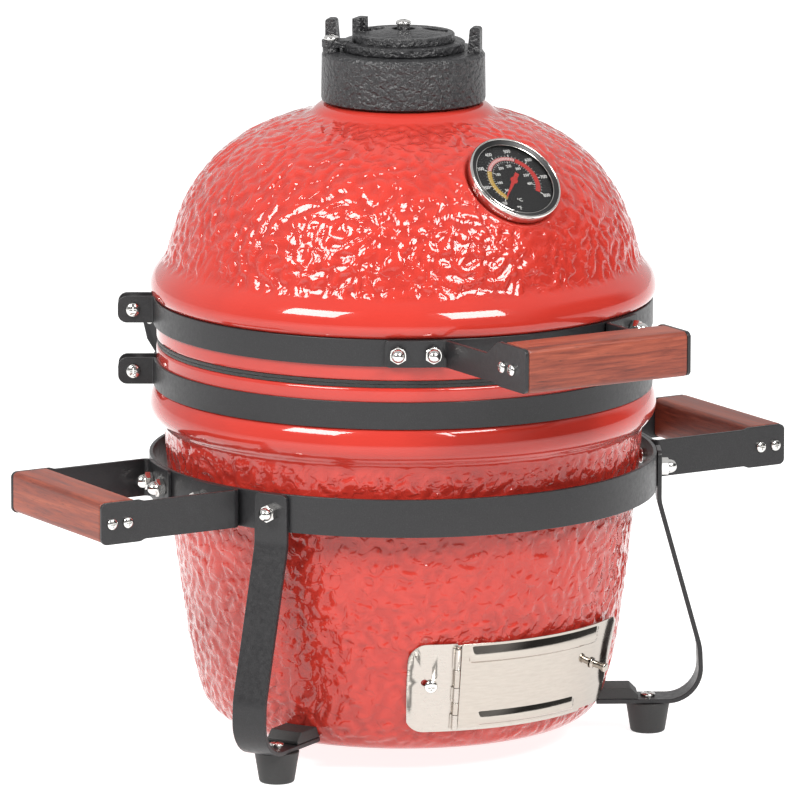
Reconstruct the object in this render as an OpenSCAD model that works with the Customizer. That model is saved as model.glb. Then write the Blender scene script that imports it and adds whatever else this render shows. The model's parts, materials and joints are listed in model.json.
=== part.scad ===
// Table-top kamado: a ceramic bowl in a three-legged steel stand, with a hinged ceramic dome,
// a cast-iron top damper, a front draft door and the loose parts inside.
// The vertical axis of the ceramic is x = y = 0, the feet stand on z = 0,
// the front (lid handle, thermometer, draft door) faces -Y and +X is to the right.

/* [Ceramic] */
// Outer radius of the ceramic under the two clamp bands
lip_r = 161; // [160.8:0.1:161]
// Radius of the round bead above the upper band
bead_r = 165; // [164:0.5:166]
// Inner radius of the bowl and dome at the joint
mouth_r = 138; // [137.5:0.5:140]
// Height of the plane where the two gaskets meet
joint_z = 263.5; // [263.5:0.1:263.5]
// Thickness of each felt gasket
gasket_t = 2.2; // [1.6:0.1:2.2]
// Radius of the chimney hole in the dome
chimney_r = 37; // [34:0.5:38]

/* [Bands] */
// Height of the clamp bands
band_h = 17.5; // [16:0.5:17.5]
// Thickness of the clamp bands
band_t = 2; // [1.5:0.1:2]
// Angle from the front to the clamp lugs
lug_phi = 120.5; // [119:0.5:122]
// Gap between the two lugs of a clamp
lug_gap = 12; // [9:0.5:12]

/* [Hinge] */
// Distance of the hinge line behind the axis
hinge_y = 176; // [175:0.5:178]
// Height of the hinge line
hinge_z = 260.5; // [260:0.5:262]
// Half distance between the outer hinge plates
hinge_x = 89.5; // [88:0.5:90]
// Radius of the hinge pins
pin_r = 4; // [3.5:0.1:4]

/* [Stand] */
// Outer radius of the stand ring
ring_r = 166; // [165.5:0.1:166]
// Width of the stand ring strap
ring_h = 24.6; // [22:0.2:24.6]
// Width of the leg straps
leg_w = 24; // [22:0.5:24]
// Thickness of the leg straps
leg_t = 3; // [2.5:0.1:3]
// Distance of the feet from the axis
foot_r = 161.5; // [160:0.5:163]
// Height of the rubber feet
foot_h = 20; // [20:0.1:20]

/* [Handles] */
// Outer face of the side handle bars
side_x = 259; // [250:1:262]
// Front face of the lid handle bar
front_y = 251.3; // [246:0.1:255]
// Half distance over the lid handle plates
front_x = 61.4; // [60:0.1:61.4]

/* [Draft door] */
// Edge of the door frame to the left of the front, degrees
door_a0 = -30; // [-31:0.5:-29]
// Free edge of the door to the right of the front, degrees
door_a1 = 38.5; // [36:0.5:39]
// Hinge line of the door, degrees
door_ah = -17; // [-17.5:0.5:-16.5]

/* [Hidden] */
$fn = 64;

RED = "#d0443a"; BLACK = "#3a3b3d"; IRON = "#2c2d30"; WOOD = "#a2553a"; STEEL = "#c9cacb"; FELT = "#161616";
FIRE = "#c9b79c"; RUBBER = "#26272a";

up_z0 = 275.4;                 // lower edge of the upper band
lo_z0 = 234.8;                 // lower edge of the lower band
band_R = lip_r + band_t;
dome_z0 = joint_z + gasket_t;  // underside of the dome
bowl_z1 = joint_z - gasket_t;  // top of the bowl
ring_z0 = 165.2;
ring_t = 2.5;
strap_z = foot_h + 0.5;        // underside of the foot strap
leg_phi = [-61, 61, 180];
t_r = 121; t_z = 385; t_a = 45; t_phi = 5;   // seat of the thermometer on the dome
door_z0 = 31; door_z1 = 91;
cone_r0 = 133.4; cone_k = 0.2033;   // cone that the draft frame is bent to
door_tilt = atan(cone_k);
swing_phi = -111; swing_r = 47.5;   // pivot of the damper slide
petal_at = [-136, 74, 149];         // vents of the damper wheel

// ---------- helpers ----------
module at(phi) { rotate([0, 0, phi - 90]) children(); }   // local +X points outwards, +Y along the ring
function cr1(a, b, c, d, t) = 0.5 * ((2 * b) + (c - a) * t + (2 * a - 5 * b + 4 * c - d) * t * t + (3 * b - a - 3 * c + d) * t * t * t);
function spline(p, n) = concat([for (i = [0:len(p) - 2]) for (j = [0:n - 1])
  cr1(p[max(i - 1, 0)], p[i], p[i + 1], p[min(i + 2, len(p) - 1)], j / n)], [p[len(p) - 1]]);
function unit(v) = v / norm(v);
function perp(v) = [-v[1], v[0]];
// rounds each inner corner of a path with its own radius
function bend(p, r, n = 6) = concat([p[0]], [for (i = [1:len(p) - 2])
  let (u = unit(p[i - 1] - p[i]), v = unit(p[i + 1] - p[i]), h = acos(max(-1, min(1, u * v))) / 2, d = r[i] / tan(h),
       c = r[i] > 0 ? p[i] + unit(u + v) * r[i] / sin(h) : p[i], s = p[i] + u * d, e = p[i] + v * d)
  for (j = [0:(r[i] > 0 ? n : 0)]) let (k = j / n, w = s * (1 - k) + e * k) r[i] > 0 ? c + unit(w - c) * r[i] : c], [p[len(p) - 1]]);
function norms(p) = [for (i = [0:len(p) - 1])
  let (a = unit(i == 0 ? p[1] - p[0] : p[i] - p[i - 1]), b = unit(i == len(p) - 1 ? p[i] - p[i - 1] : p[i + 1] - p[i]),
       m = unit(perp(a) + perp(b))) m / (m * perp(a))];
// flat outline of a strip of thickness t along a path
function strip(p, t) = let (n = norms(p)) concat([for (i = [0:len(p) - 1]) p[i] + n[i] * t / 2],
  [for (i = [len(p) - 1:-1:0]) p[i] - n[i] * t / 2]);
function polar(r, phi) = [r * sin(phi), -r * cos(phi)];
module arc_ring(r0, r1, z0, z1, a0, a1) {
  rotate([0, 0, a0 - 90]) rotate_extrude(angle = a1 - a0, $fn = 128) translate([r0, z0]) square([r1 - r0, z1 - z0]);
}
module flip_x(on) { if (on) mirror([1, 0, 0]) children(); else children(); }
module flip_y(on) { if (on) mirror([0, 1, 0]) children(); else children(); }
module ring(r0, r1, z0, z1) {
  translate([0, 0, z0]) difference() { cylinder(r = r1, h = z1 - z0, $fn = 128); translate([0, 0, -1]) cylinder(r = r0, h = z1 - z0 + 2, $fn = 128); }
}
module rrect(x0, y0, x1, y1, r) {
  translate([x0 + r, y0]) square([x1 - x0 - 2 * r, y1 - y0]);
  translate([x0, y0 + r]) square([x1 - x0, y1 - y0 - 2 * r]);
  for (x = [x0 + r, x1 - r]) for (y = [y0 + r, y1 - r]) translate([x, y]) circle(r = r, $fn = 32);
}
// rectangle from x0 to x1 with round corners at x1 only
module tongue2d(x0, y0, x1, y1, r) {
  translate([x0, y0]) square([x1 - x0 - r, y1 - y0]);
  translate([x0, y0 + r]) square([x1 - x0, y1 - y0 - 2 * r]);
  for (y = [y0 + r, y1 - r]) translate([x1 - r, y]) circle(r = r, $fn = 32);
}
module xcyl(r, x0, x1, fn = 32) { translate([x0, 0, 0]) rotate([0, 90, 0]) cylinder(r = r, h = x1 - x0, $fn = fn); }
// pan-head machine screw: underside of the head at x = 0, shank runs to -x
module pan_screw(r, len, hr, hh) {
  difference() {
    rotate([0, 90, 0]) rotate_extrude($fn = 40)
      polygon(concat([[0, 0], [hr, 0], [hr, hh * 0.35]], [for (i = [1:6]) [hr * cos(i * 15), hh * (0.35 + 0.65 * sin(i * 15))]]));
    for (a = [0, 90]) rotate([a, 0, 0]) translate([hh * 0.45, -hr * 0.5, -hr * 0.09]) cube([hh, hr, hr * 0.18]);
  }
  xcyl(r, -len, 0.2);
}
// acorn nut: seat at x = 0, dome towards +x
module acorn_nut(r, af, h, hole) {
  difference() {
    union() {
      intersection() {
        rotate([0, 90, 0]) cylinder(r = af / 2 / cos(30), h = h * 0.48, $fn = 6);
        rotate([0, 90, 0]) rotate_extrude($fn = 40) polygon([[0, 0], [af * 0.53, 0], [af * 0.59, af * 0.06], [af * 0.59, h * 0.42], [af * 0.5, h * 0.48], [0, h * 0.48]]);
      }
      rotate([0, 90, 0]) rotate_extrude($fn = 40)
        polygon(concat([[0, h * 0.4], [af * 0.44, h * 0.4], [af * 0.44, h * 0.56]], [for (i = [1:7]) [af * 0.44 * cos(i * 90 / 7), h * (0.56 + 0.44 * sin(i * 90 / 7))]]));
    }
    xcyl(r, -1, hole);
  }
}
module hex_nut(r, af, h) {
  difference() {
    intersection() {
      rotate([0, 90, 0]) cylinder(r = af / 2 / cos(30), h = h, $fn = 6);
      rotate([0, 90, 0]) rotate_extrude($fn = 40) polygon([[0, 0], [af * 0.52, 0], [af * 0.59, af * 0.07], [af * 0.59, h - af * 0.07], [af * 0.52, h], [0, h]]);
    }
    xcyl(r, -1, h + 1);
  }
}
// wooden bar along y: depth in x from x0 to x1, height z0 to z1, edges rounded by r
module bar(x0, x1, hy, z0, z1, r) {
  translate([0, hy, 0]) rotate([90, 0, 0]) linear_extrude(2 * hy) rrect(x0, z0, x1, z1, r);
}

// ---------- ceramic shapes ----------
dome_out = concat([[159, dome_z0], [160.4, dome_z0 + 0.8], [lip_r, dome_z0 + 2.4], [lip_r, 292.8]],
  spline([[lip_r + 0.5, 293.2], [bead_r - 1.3, 295.2], [bead_r - 0.2, 298], [bead_r, 301], [bead_r - 0.7, 305], [162.4, 309.5], [159.3, 313.6],
    [156.2, 317], [154, 321], [152.4, 326.5], [149.8, 336], [146.2, 346.5], [141.5, 357], [135.4, 367], [127.6, 377.4], [118, 387], [106.5, 395.6],
    [93, 402.8], [79, 408.4], [68, 411.6], [60.5, 414.4], [57, 417.4], [53.5, 419.6], [49.5, 420.4], [45.5, 420.5]], 2));
dome_in = spline([[chimney_r, 402], [60, 394.5], [85, 383], [105, 368], [120, 350], [129, 330], [134, 305], [137, 283], [mouth_r, 268]], 2);
bowl_out = concat(
  spline([[104, 14.2], [111, 14.6], [119, 16.8], [124.3, 20.5], [128.3, 26], [131.2, 32], [133.7, 40], [136.8, 52], [140.1, 68], [143.5, 90], [147, 115],
    [150.3, 145], [153.8, 180], [155.4, 198], [156, 205], [157.6, 209.5], [161.6, 213.8], [164.6, 218.2], [165.5, 222.5], [165, 227], [163.6, 231.4], [lip_r + 0.6, 234.4]], 2),
  [[lip_r, 234.9], [lip_r, bowl_z1 - 2.4], [160.4, bowl_z1 - 0.8], [159, bowl_z1]]);
bowl_in = spline([[mouth_r, bowl_z1], [mouth_r - 0.6, 225], [135.5, 190], [132, 150], [127.5, 105], [122, 66], [116, 47], [106, 37.5], [92, 34]], 2);

module t_place() { rotate([0, 0, t_phi]) translate([0, -t_r, t_z]) rotate([t_a, 0, 0]) children(); }   // +Z leaves the dome

module dome() color(RED) difference() {
  rotate_extrude($fn = 128) polygon(concat(dome_out, [[45.5, 434], [43.5, 436], [chimney_r, 436]], dome_in, [[mouth_r, dome_z0]]));
  t_place() { translate([0, 0, -6.5]) cylinder(r = 32.3, h = 40); translate([0, 0, -60]) cylinder(r = 4.6, h = 90); }
}
module upper_gasket() color(FELT) ring(mouth_r, 160.5, joint_z + 0.05, dome_z0);
module lower_gasket() color(FELT) ring(mouth_r, 160.5, bowl_z1, joint_z - 0.05);
module bowl() color(RED) difference() {
  rotate_extrude($fn = 128) polygon(concat([[0, 14.2]], bowl_out, bowl_in, [[0, 34]]));
  // draft opening, with a short neck inside
  draft_slot(100, 170, 42, 80, -11, 23);
  // blind holes for the two plugs that take the frame screws
  for (s = draft_screw_at) on_cone(s[0], s[1]) xcyl(3, -13, 5);
}
module draft_slot(r0, r1, z0, z1, a0, a1) { intersection() {
  arc_ring(r0, r1, z0, z1, a0, a1);
  at((a0 + a1) / 2) translate([r0 * 0.9, 0, 0]) rotate([90, 0, 90]) linear_extrude(r1) rrect(-60, z0, 60, z1, 6);
} }

// ---------- bands ----------
module lug(phi, side, z0) {   // radial ear, standing on the side of the clamp given by side
  at(phi) translate([0, side * (lug_gap / 2 + (side > 0 ? 0 : band_t)), 0]) difference() {
    translate([0, side > 0 ? band_t : band_t, 0]) rotate([90, 0, 0]) linear_extrude(band_t) tongue2d(lip_r + 0.8, z0, 186, z0 + band_h, 6);
    translate([176, 0, z0 + band_h / 2]) rotate([-90, 0, 0]) translate([0, 0, -1]) cylinder(r = 3.05, h = band_t + 2, $fn = 32);
  }
}
da = asin((lug_gap / 2 - 0.8) / lip_r);   // the band runs 0.8 mm past each lug
module front_band(z0) { arc_ring(lip_r, band_R, z0, z0 + band_h, -lug_phi + da, lug_phi - da); lug(-lug_phi, 1, z0); lug(lug_phi, -1, z0); }
module rear_band(z0) { arc_ring(lip_r, band_R, z0, z0 + band_h, lug_phi + da, 360 - lug_phi - da); lug(-lug_phi, -1, z0); lug(lug_phi, 1, z0); }
module clamp_at(s, z0) { at(s * lug_phi) translate([176, 0, z0 + band_h / 2]) rotate([0, 0, -90 * s]) children(); }
module clamp_screws(z0) { for (s = [-1, 1]) clamp_at(s, z0) translate([lug_gap / 2 + band_t, 0, 0]) pan_screw(2.95, 22, 4.7, 3.4); }
module clamp_nuts(z0) { for (s = [-1, 1]) clamp_at(s, z0) translate([-lug_gap / 2 - band_t, 0, 0]) mirror([1, 0, 0]) hex_nut(3, 10, 5.5); }
module hinge_at() { translate([0, hinge_y, hinge_z]) children(); }
module stud_holes() { for (s = [-1, 1]) for (a = [24.4, 32]) at(s * a) translate([0, 0, up_z0 + band_h / 2]) xcyl(3.05, 150, 180); }

module upper_front_band() color(BLACK) difference() { front_band(up_z0); stud_holes(); }
module lower_front_band() color(BLACK) front_band(lo_z0);
// arm of the upper hinge half in the plane of the hinge plate; local x = y - hinge_y, y = z - hinge_z
module upper_arm2d() {
  circle(r = 10, $fn = 48);
  polygon([[-3.5, -9.4], [-38, up_z0 - hinge_z], [-38, up_z0 + band_h - hinge_z], [-24, up_z0 + band_h - hinge_z], [7.6, 6.6]]);
  rotate(-20) tongue2d(0, -5, 15, 5, 3);
}
module lower_plate2d() {
  circle(r = 11, $fn = 48);
  polygon([[-9, 6.3], [-39.5, lo_z0 + band_h - hinge_z], [-39.5, lo_z0 - hinge_z], [-9, lo_z0 - hinge_z - 2], [6, -18], [11, -8], [11, 0]]);
}
module yz_plate(x0, t) { translate([x0, 0, 0]) rotate([90, 0, 90]) linear_extrude(t) children(); }
module upper_rear_band() color(BLACK) {
  rear_band(up_z0);
  // hinge arms, running just inside the plates of the lower half
  for (s = [-1, 1]) hinge_at() difference() {
    yz_plate(s > 0 ? hinge_x - 6.4 : -(hinge_x - 6.4) - 2.8, 2.8) upper_arm2d();
    xcyl(pin_r + 0.05, -120, 120);
  }
}
module lower_rear_band() color(BLACK) {
  rear_band(lo_z0);
  for (s = [-1, 1]) hinge_at() difference() {
    yz_plate(s > 0 ? hinge_x - 3 : -hinge_x, 3) lower_plate2d();
    xcyl(pin_r + 0.05, -120, 120);
  }
  // cross tie between the plates: the tails of the lid arms stop on it
  translate([-hinge_x + 2.5, 166.2, lo_z0 + 2]) cube([2 * hinge_x - 5, 3, 12]);
}
module upper_clamp_screws() color(STEEL) clamp_screws(up_z0);
module lower_clamp_screws() color(STEEL) clamp_screws(lo_z0);
module upper_clamp_nuts() color(STEEL) clamp_nuts(up_z0);
module lower_clamp_nuts() color(STEEL) clamp_nuts(lo_z0);
module hinge_pins() color(STEEL) for (s = [-1, 1]) hinge_at() rotate([0, 0, s > 0 ? 0 : 180]) translate([hinge_x, 0, 0]) {
  pan_screw(pin_r, 16, 7, 4.5);
}
module hinge_pin_nuts() color(STEEL) for (s = [-1, 1]) hinge_at() rotate([0, 0, s > 0 ? 0 : 180]) translate([hinge_x - 6.8, 0, 0]) mirror([1, 0, 0]) hex_nut(pin_r + 0.05, 13, 6.5);

// ---------- lid handle ----------
function bracket_path() = bend(concat([for (a = [35:-1.5:24.5]) polar(band_R + 1.45, a)],
  [polar(band_R + 1.45, asin((front_x - 1.25) / (band_R + 1.45))), [front_x - 1.25, -front_y]]),
  concat([for (a = [35:-1.5:24.5]) 0], [5, 5]), 6);
// side view of the arm in the plane across x; local x runs from the bend outwards
module bracket_side() {
  translate([0, up_z0]) square([62, band_h]);
  polygon([[50, up_z0], [60, up_z0], [68, 273.8], [68, 302.2], [61, 299.8], [56, 296], [50, 292.9]]);
  tongue2d(64, 273.8, 98, 302.4, 4);
}
module bracket(s) {
  difference() {
    intersection() {
      translate([0, 0, 270]) linear_extrude(36) flip_x(s < 0) polygon(strip(bracket_path(), 2.5));
      union() {
        // the foot flange, with rounded free corners
        intersection() {
          translate([-100, -170, up_z0]) cube([200, 40, band_h]);
          at(s * 27) rotate([90, 0, 90]) translate([0, 0, 130]) linear_extrude(60) rrect(-24, up_z0, 24, up_z0 + band_h, 3);
        }
        translate([s > 0 ? 40 : -80, -153.3, 0]) rotate([90, 0, 90]) linear_extrude(40) mirror([1, 0]) bracket_side();
      }
    }
    stud_holes();
    for (d = [16, 27.5]) translate([0, -front_y + d, 287]) xcyl(2.1, -90, 90);
  }
}
module lid_handle_bracket_left() color(BLACK) bracket(-1);
module lid_handle_bracket_right() color(BLACK) bracket(1);
module lid_handle_bar() color(WOOD) difference() {
  rotate([0, 0, -90]) bar(front_y - 30, front_y, front_x - 2.6, 273.7, 302.6, 4);
  for (s = [-1, 1]) for (d = [16, 27.5]) translate([0, -front_y + d, 287]) xcyl(2, s > 0 ? 40 : -70, s > 0 ? 70 : -40);
}
module lid_handle_studs() color(STEEL) for (s = [-1, 1]) for (a = [24.4, 32]) at(s * a) translate([0, 0, up_z0 + band_h / 2]) xcyl(3, 161.8, 172.5);
module lid_handle_nuts() color(STEEL) for (s = [-1, 1]) for (a = [24.4, 32]) at(s * a) translate([166.2, 0, up_z0 + band_h / 2]) acorn_nut(3.05, 10, 10.5, 7.5);
module lid_handle_screws() color(STEEL) for (s = [-1, 1]) for (d = [16, 27.5]) translate([s * front_x, -front_y + d, 287]) rotate([0, 0, s > 0 ? 0 : 180]) pan_screw(1.95, 16, 3.7, 2.6);

// ---------- thermometer ----------
module thermometer_case() color(STEEL) t_place() difference() {
  rotate_extrude($fn = 96) polygon([[0, -6.4], [28, -6.4], [31.2, -4.6], [31.2, 0.6], [29.6, 0.6], [29.6, -1.4], [0, -1.4]]);
  translate([0, 0, -10]) cylinder(r = 2.95, h = 20);
}
module thermometer_bezel() color(STEEL) t_place()
  rotate_extrude($fn = 96) polygon([[28.6, 0.7], [31.3, 0.7], [31.3, -1.2], [31.9, -1.2], [32, 0.8], [31.2, 2.2], [29.6, 2.8], [28, 2.2], [27.2, 1.3], [27.2, 0.7]]);
module thermometer_dial() color(BLACK) t_place() difference() {
  translate([0, 0, -1.3]) cylinder(r = 29.4, h = 0.6, $fn = 96);
  translate([0, 0, -3]) cylinder(r = 1.2, h = 5);
}
module thermometer_glass() color([0.8, 0.9, 0.95, 0.3]) t_place() translate([0, 0, -0.1]) cylinder(r = 29.3, h = 0.75, $fn = 96);
module thermometer_pointer() color("#c8201c") t_place() rotate([0, 0, 225]) {
  difference() { translate([0, 0, -0.55]) linear_extrude(0.25) union() {
    polygon([[-7, -1.5], [0, -1.3], [17, -0.35], [17, 0.35], [0, 1.3], [-7, 1.5]]); circle(r = 2.6); } 
    translate([0, 0, -2]) cylinder(r = 0.95, h = 3); }
  translate([0, 0, -1.25]) cylinder(r = 0.9, h = 0.95);
  translate([0, 0, -0.6]) difference() { cylinder(r = 1.6, h = 0.35); translate([0, 0, -1]) cylinder(r = 0.7, h = 3); }
}
module thermometer_stem() color(STEEL) t_place() { translate([0, 0, -58]) cylinder(r = 2.9, h = 56.5); translate([0, 0, -60]) cylinder(r1 = 1.4, r2 = 2.9, h = 2); }
module thermometer_nut() color(STEEL) t_place() translate([0, 0, -34]) difference() {
  union() { cylinder(r = 6.5, h = 3.5); for (a = [0, 180]) rotate([0, 0, a]) translate([5, -1.2, -5]) cube([7.5, 2.4, 8]); }
  translate([0, 0, -8]) cylinder(r = 2.95, h = 20);
}

// ---------- top damper ----------
module damper_base() color(IRON) {
  difference() {
    union() {
      rotate_extrude($fn = 128) polygon([[46.2, 421.2], [51.5, 421.2], [53.2, 422.2], [53.5, 424], [53.1, 451.4], [51.6, 453.6], [49.5, 454], [33, 454], [33, 449], [39, 443], [39, 436.2], [46.2, 436.2]]);
      // boss for the swing pivot
      at(swing_phi) translate([swing_r, 0, 440]) cylinder(r = 5.6, h = 17, $fn = 40);
    }
    at(swing_phi) translate([swing_r, 0, 446]) cylinder(r = 2.55, h = 30, $fn = 32);
  }
  // upright prongs at the rim: one behind the pivot, one on the far side where the slide stops
  at(-136) prong(47.6, 8, 473);
  at(48) prong(47.2, 9, 470.5);
}
module prong(r, w, z) {   // upright block, its outer side straight and its inner side leaning
  translate([0, w / 2, 0]) rotate([90, 0, 0]) linear_extrude(w) polygon(concat([[r - 4.6, 450], [r + 4, 450]],
    [for (a = [0:15:90]) [r + 1.8 + 2.2 * cos(a), z - 2.2 + 2.2 * sin(a)]], [for (a = [90:15:180]) [r - 0.6 + 2.2 * cos(a), z - 2.2 + 2.2 * sin(a)]]));
}
module damper_slide() color(IRON) difference() {
  union() {
    translate([0, 0, 454.4]) cylinder(r1 = 39.4, r2 = 40, h = 1, $fn = 96);
    translate([0, 0, 455.4]) cylinder(r = 40, h = 4, $fn = 96);
    translate([0, 0, 459.4]) cylinder(r1 = 40, r2 = 39, h = 0.8, $fn = 96);
    at(swing_phi) translate([0, 0, 457.3]) linear_extrude(4.5) union() { translate([swing_r, 0]) circle(r = 6.2, $fn = 40); translate([34, -6.2]) square([swing_r - 34, 12.4]); }
  }
  at(swing_phi) translate([swing_r, 0, 440]) cylinder(r = 2.6, h = 40, $fn = 32);
  translate([0, 0, 450]) cylinder(r = 2.6, h = 20, $fn = 32);
  for (a = petal_at) at(a - 37.5) translate([0, 0, 450]) linear_extrude(20) petal();
  // the wheel turns in a shallow recess
  translate([0, 0, 459.7]) cylinder(r = 33.6, h = 5, $fn = 96);
}
module petal() { translate([19, 0]) circle(r = 6.3, $fn = 32); translate([26, 0]) circle(r = 4, $fn = 32); polygon([[19.5, -6.25], [26.5, -4], [26.5, 4], [19.5, 6.25]]); }
module damper_pivot_screw() color(STEEL) at(swing_phi) translate([swing_r, 0, 461.95]) rotate([0, -90, 0]) pan_screw(2.5, 15, 5, 3);
module damper_wheel() color(IRON) difference() {
  union() {
    rotate_extrude($fn = 96) polygon([[0, 460], [33, 460], [33.3, 461], [33.3, 464.8], [32.6, 465.6], [29, 465.7], [28.4, 464.9], [24, 466], [14, 467.6], [8.4, 468.1], [7.6, 467.7], [7.2, 465.4], [4.5, 465.4], [4.2, 470.6], [3.8, 471], [0, 471]]);
    // thumb tab on the rim
    at(-143) translate([27.4, -7.5, 464]) linear_extrude(9.4) rrect(0, 0, 6, 15, 1.5);
  }
  translate([0, 0, 450]) cylinder(r = 2.6, h = 40, $fn = 32);
  for (a = petal_at) at(a) translate([0, 0, 450]) linear_extrude(30) petal();
}
module damper_wheel_screw() color(STEEL) translate([0, 0, 471.1]) rotate([0, -90, 0]) pan_screw(2.5, 17, 5, 2.9);

// ---------- inside ----------
module fire_bowl() color(FIRE) difference() {
  rotate_extrude($fn = 96) polygon([[84, 34.4], [91, 34.4], [103, 38.4], [105, 46], [106.5, 60], [111, 100], [115, 150], [118, 190], [104, 190], [101, 150], [97, 95.8], [82, 95.8], [82, 88], [90, 80], [90, 41], [84, 37.5]]);
  draft_slot(70, 130, 30, 78, -14, 26);
  for (i = [0:9]) rotate([0, 0, 36 * i + 18]) translate([0, 0, 112]) xcyl(5, 80, 130, 24);
}
module fire_ring() color(FIRE) rotate_extrude($fn = 96) polygon([[107, 190.3], [121, 190.3], [127.5, 206], [130.5, 236], [131, 249], [130, 250], [117.5, 250], [117, 249], [115.5, 230], [112, 208]]);
module charcoal_grate() color(IRON) difference() {
  translate([0, 0, 96.1]) cylinder(r = 95.5, h = 6.5, $fn = 96);
  for (i = [-4:4]) let (l = sqrt(84 * 84 - i * i * 18 * 18)) for (s = [-1, 1]) if (l > 12)
    translate([s > 0 ? 4 : -l, 18 * i - 5, 90]) cube([l - 4, 10, 20]);
}
module cooking_grate() color(STEEL) {
  rotate_extrude($fn = 96) translate([122, 252.45]) circle(r = 2.4, $fn = 24);
  for (i = [-9:9]) let (l = sqrt(122 * 122 - i * i * 169)) translate([-l, 13 * i, 254.35]) rotate([0, 90, 0]) cylinder(r = 1.7, h = 2 * l, $fn = 20);
  for (x = [-62, 62]) let (l = sqrt(122 * 122 - x * x)) translate([x, l, 251.9]) rotate([90, 0, 0]) cylinder(r = 1.7, h = 2 * l, $fn = 20);
}

// ---------- draft door ----------
draft_screw_at = [[-23.6, 62.7]];
module on_cone(phi, z) { at(phi) translate([cone_r0 + cone_k * (z - door_z0), 0, z]) rotate([0, door_tilt, 0]) children(); }
// a sheet bent to the cone: offset d from it, thickness t, trimmed by a flat outline (angle*2.42 mm, height)
module cone_sheet(d, t, z0, z1, a0, a1) {
  rotate([0, 0, a0 - 90]) rotate_extrude(angle = a1 - a0, $fn = 128)
    polygon([for (p = [[d, z0], [d + t, z0], [d + t, z1], [d, z1]]) [cone_r0 + cone_k * (p[1] - door_z0) + p[0], p[1]]]);
}
module trimmed(a0, a1, z0, z1, r) {   // rounds the corners of a bent sheet, cut square to the wall at its own middle
  intersection() {
    children();
    at((a0 + a1) / 2) translate([60, 0, 0]) rotate([90, 0, 90]) linear_extrude(140)
      rrect(-138 * sin((a1 - a0) / 2) - 0.5, z0, 138 * sin((a1 - a0) / 2) + 0.5, z1, r);
  }
}
hinge_pt = cone_r0 + 3.1;
module door_line() { at(door_ah) translate([hinge_pt, 0, door_z0]) rotate([0, door_tilt, 0]) children(); }   // +Z runs up the hinge
module draft_frame() color(STEEL) difference() {
  union() {
    trimmed(door_a0, 2 * door_ah - door_a0, door_z0, door_z1, 12) cone_sheet(0, 1, door_z0, door_z1, door_a0, door_ah);
    cone_sheet(0, 1, door_z0, door_z0 + 9, door_ah - 0.05, 27);
    cone_sheet(0, 1, door_z1 - 9, door_z1 - 1, door_ah - 0.05, 30);
    cone_sheet(0, 1, door_z0 + 8, door_z1 - 8, 24, 30);
    // outer knuckles of the hinge
    for (z = [[2, 12], [21, 31], [44, 58]]) door_line() { translate([0, 0, z[0]]) cylinder(r = 2, h = z[1] - z[0], $fn = 24); translate([-2.6, -3, z[0]]) cube([1.9, 3, z[1] - z[0]]); }
  }
  door_line() translate([0, 0, -5]) cylinder(r = 1.05, h = 80, $fn = 24);
  for (s = draft_screw_at) { on_cone(s[0], s[1]) xcyl(2.3, -5, 5); on_cone(s[0] - 1.7, s[1] + 2.6) xcyl(2.3, -5, 5); }
}
module draft_frame_screws() color(STEEL) for (s = draft_screw_at) on_cone(s[0], s[1]) translate([1.1, 0, 0]) pan_screw(2.1, 11, 4.3, 2.8);
module draft_door() color(STEEL) difference() {
  union() {
    trimmed(-66.5, door_a1, 33.5, door_z1, 9) cone_sheet(2.6, 1, 33.5, door_z1, door_ah + 0.95, door_a1);
    // pressed rails along the upper and lower edge
    cone_sheet(3.4, 0.9, 79.5, 88, -13, 26);
    cone_sheet(3.4, 0.9, 36, 41.5, -8, 19);
    // inner knuckles
    for (z = [[12.3, 20.7], [31.3, 43.7]]) door_line() { translate([0, 0, z[0]]) cylinder(r = 2, h = z[1] - z[0], $fn = 24); translate([-0.5, 0, z[0]]) cube([1, 8, z[1] - z[0]]); }
  }
  door_line() translate([0, 0, -5]) cylinder(r = 1.05, h = 80, $fn = 24);
  on_cone(27.5, 64.5) xcyl(1.6, -5, 15);
}
module draft_door_knob() color(STEEL) on_cone(27.5, 64.5) translate([3.8, 0, 0]) { 
  rotate([0, 90, 0]) rotate_extrude($fn = 32) polygon([[0, 0], [3.6, 0], [3.6, 0.8], [2.3, 1.4], [2.2, 8], [3, 8.6], [3.1, 10.4], [2.4, 11.2], [0, 11.4]]);
  xcyl(1.5, -1.6, 0.1); }
module draft_hinge_pin() color(STEEL) door_line() translate([0, 0, 1]) cylinder(r = 1, h = 58, $fn = 24);

// ---------- stand ----------
module ring_bolts(r) { for (p = leg_phi) at(p) translate([0, 0, ring_z0 + ring_h / 2]) xcyl(r, 150, 180);
  for (s = [-1, 1]) for (a = [-16, -8, 8, 16]) at(s * 90 + a) translate([0, 0, ring_z0 + ring_h / 2]) xcyl(r, 150, 180); }
module stand_ring() color(BLACK) difference() { ring(ring_r - ring_t, ring_r, ring_z0, ring_z0 + ring_h); ring_bolts(3.2); }
leg_path = bend([[ring_r + 0.1 + leg_t / 2, ring_z0 + ring_h], [ring_r + 0.1 + leg_t / 2, 156], [195, 58], [196.5, strap_z + leg_t / 2], [127, strap_z + leg_t / 2]], [0, 25, 40, 22, 0], 6);
module leg(phi) at(phi) difference() {
  intersection() {
    rotate([90, 0, 0]) translate([0, 0, -leg_w / 2]) linear_extrude(leg_w) polygon(strip(leg_path, leg_t));
    union() { translate([100, -leg_w / 2, 0]) cube([120, leg_w, 150]); translate([160, 0, 0]) rotate([90, 0, 90]) linear_extrude(20) rrect(-leg_w / 2, 140, leg_w / 2, ring_z0 + ring_h, 4); }
  }
  translate([0, 0, ring_z0 + ring_h / 2]) xcyl(3.2, 150, 180);
  translate([foot_r, 0, 0]) cylinder(r = 3.2, h = 40, $fn = 32);
}
module leg_left() color(BLACK) leg(leg_phi[0]);
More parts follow.
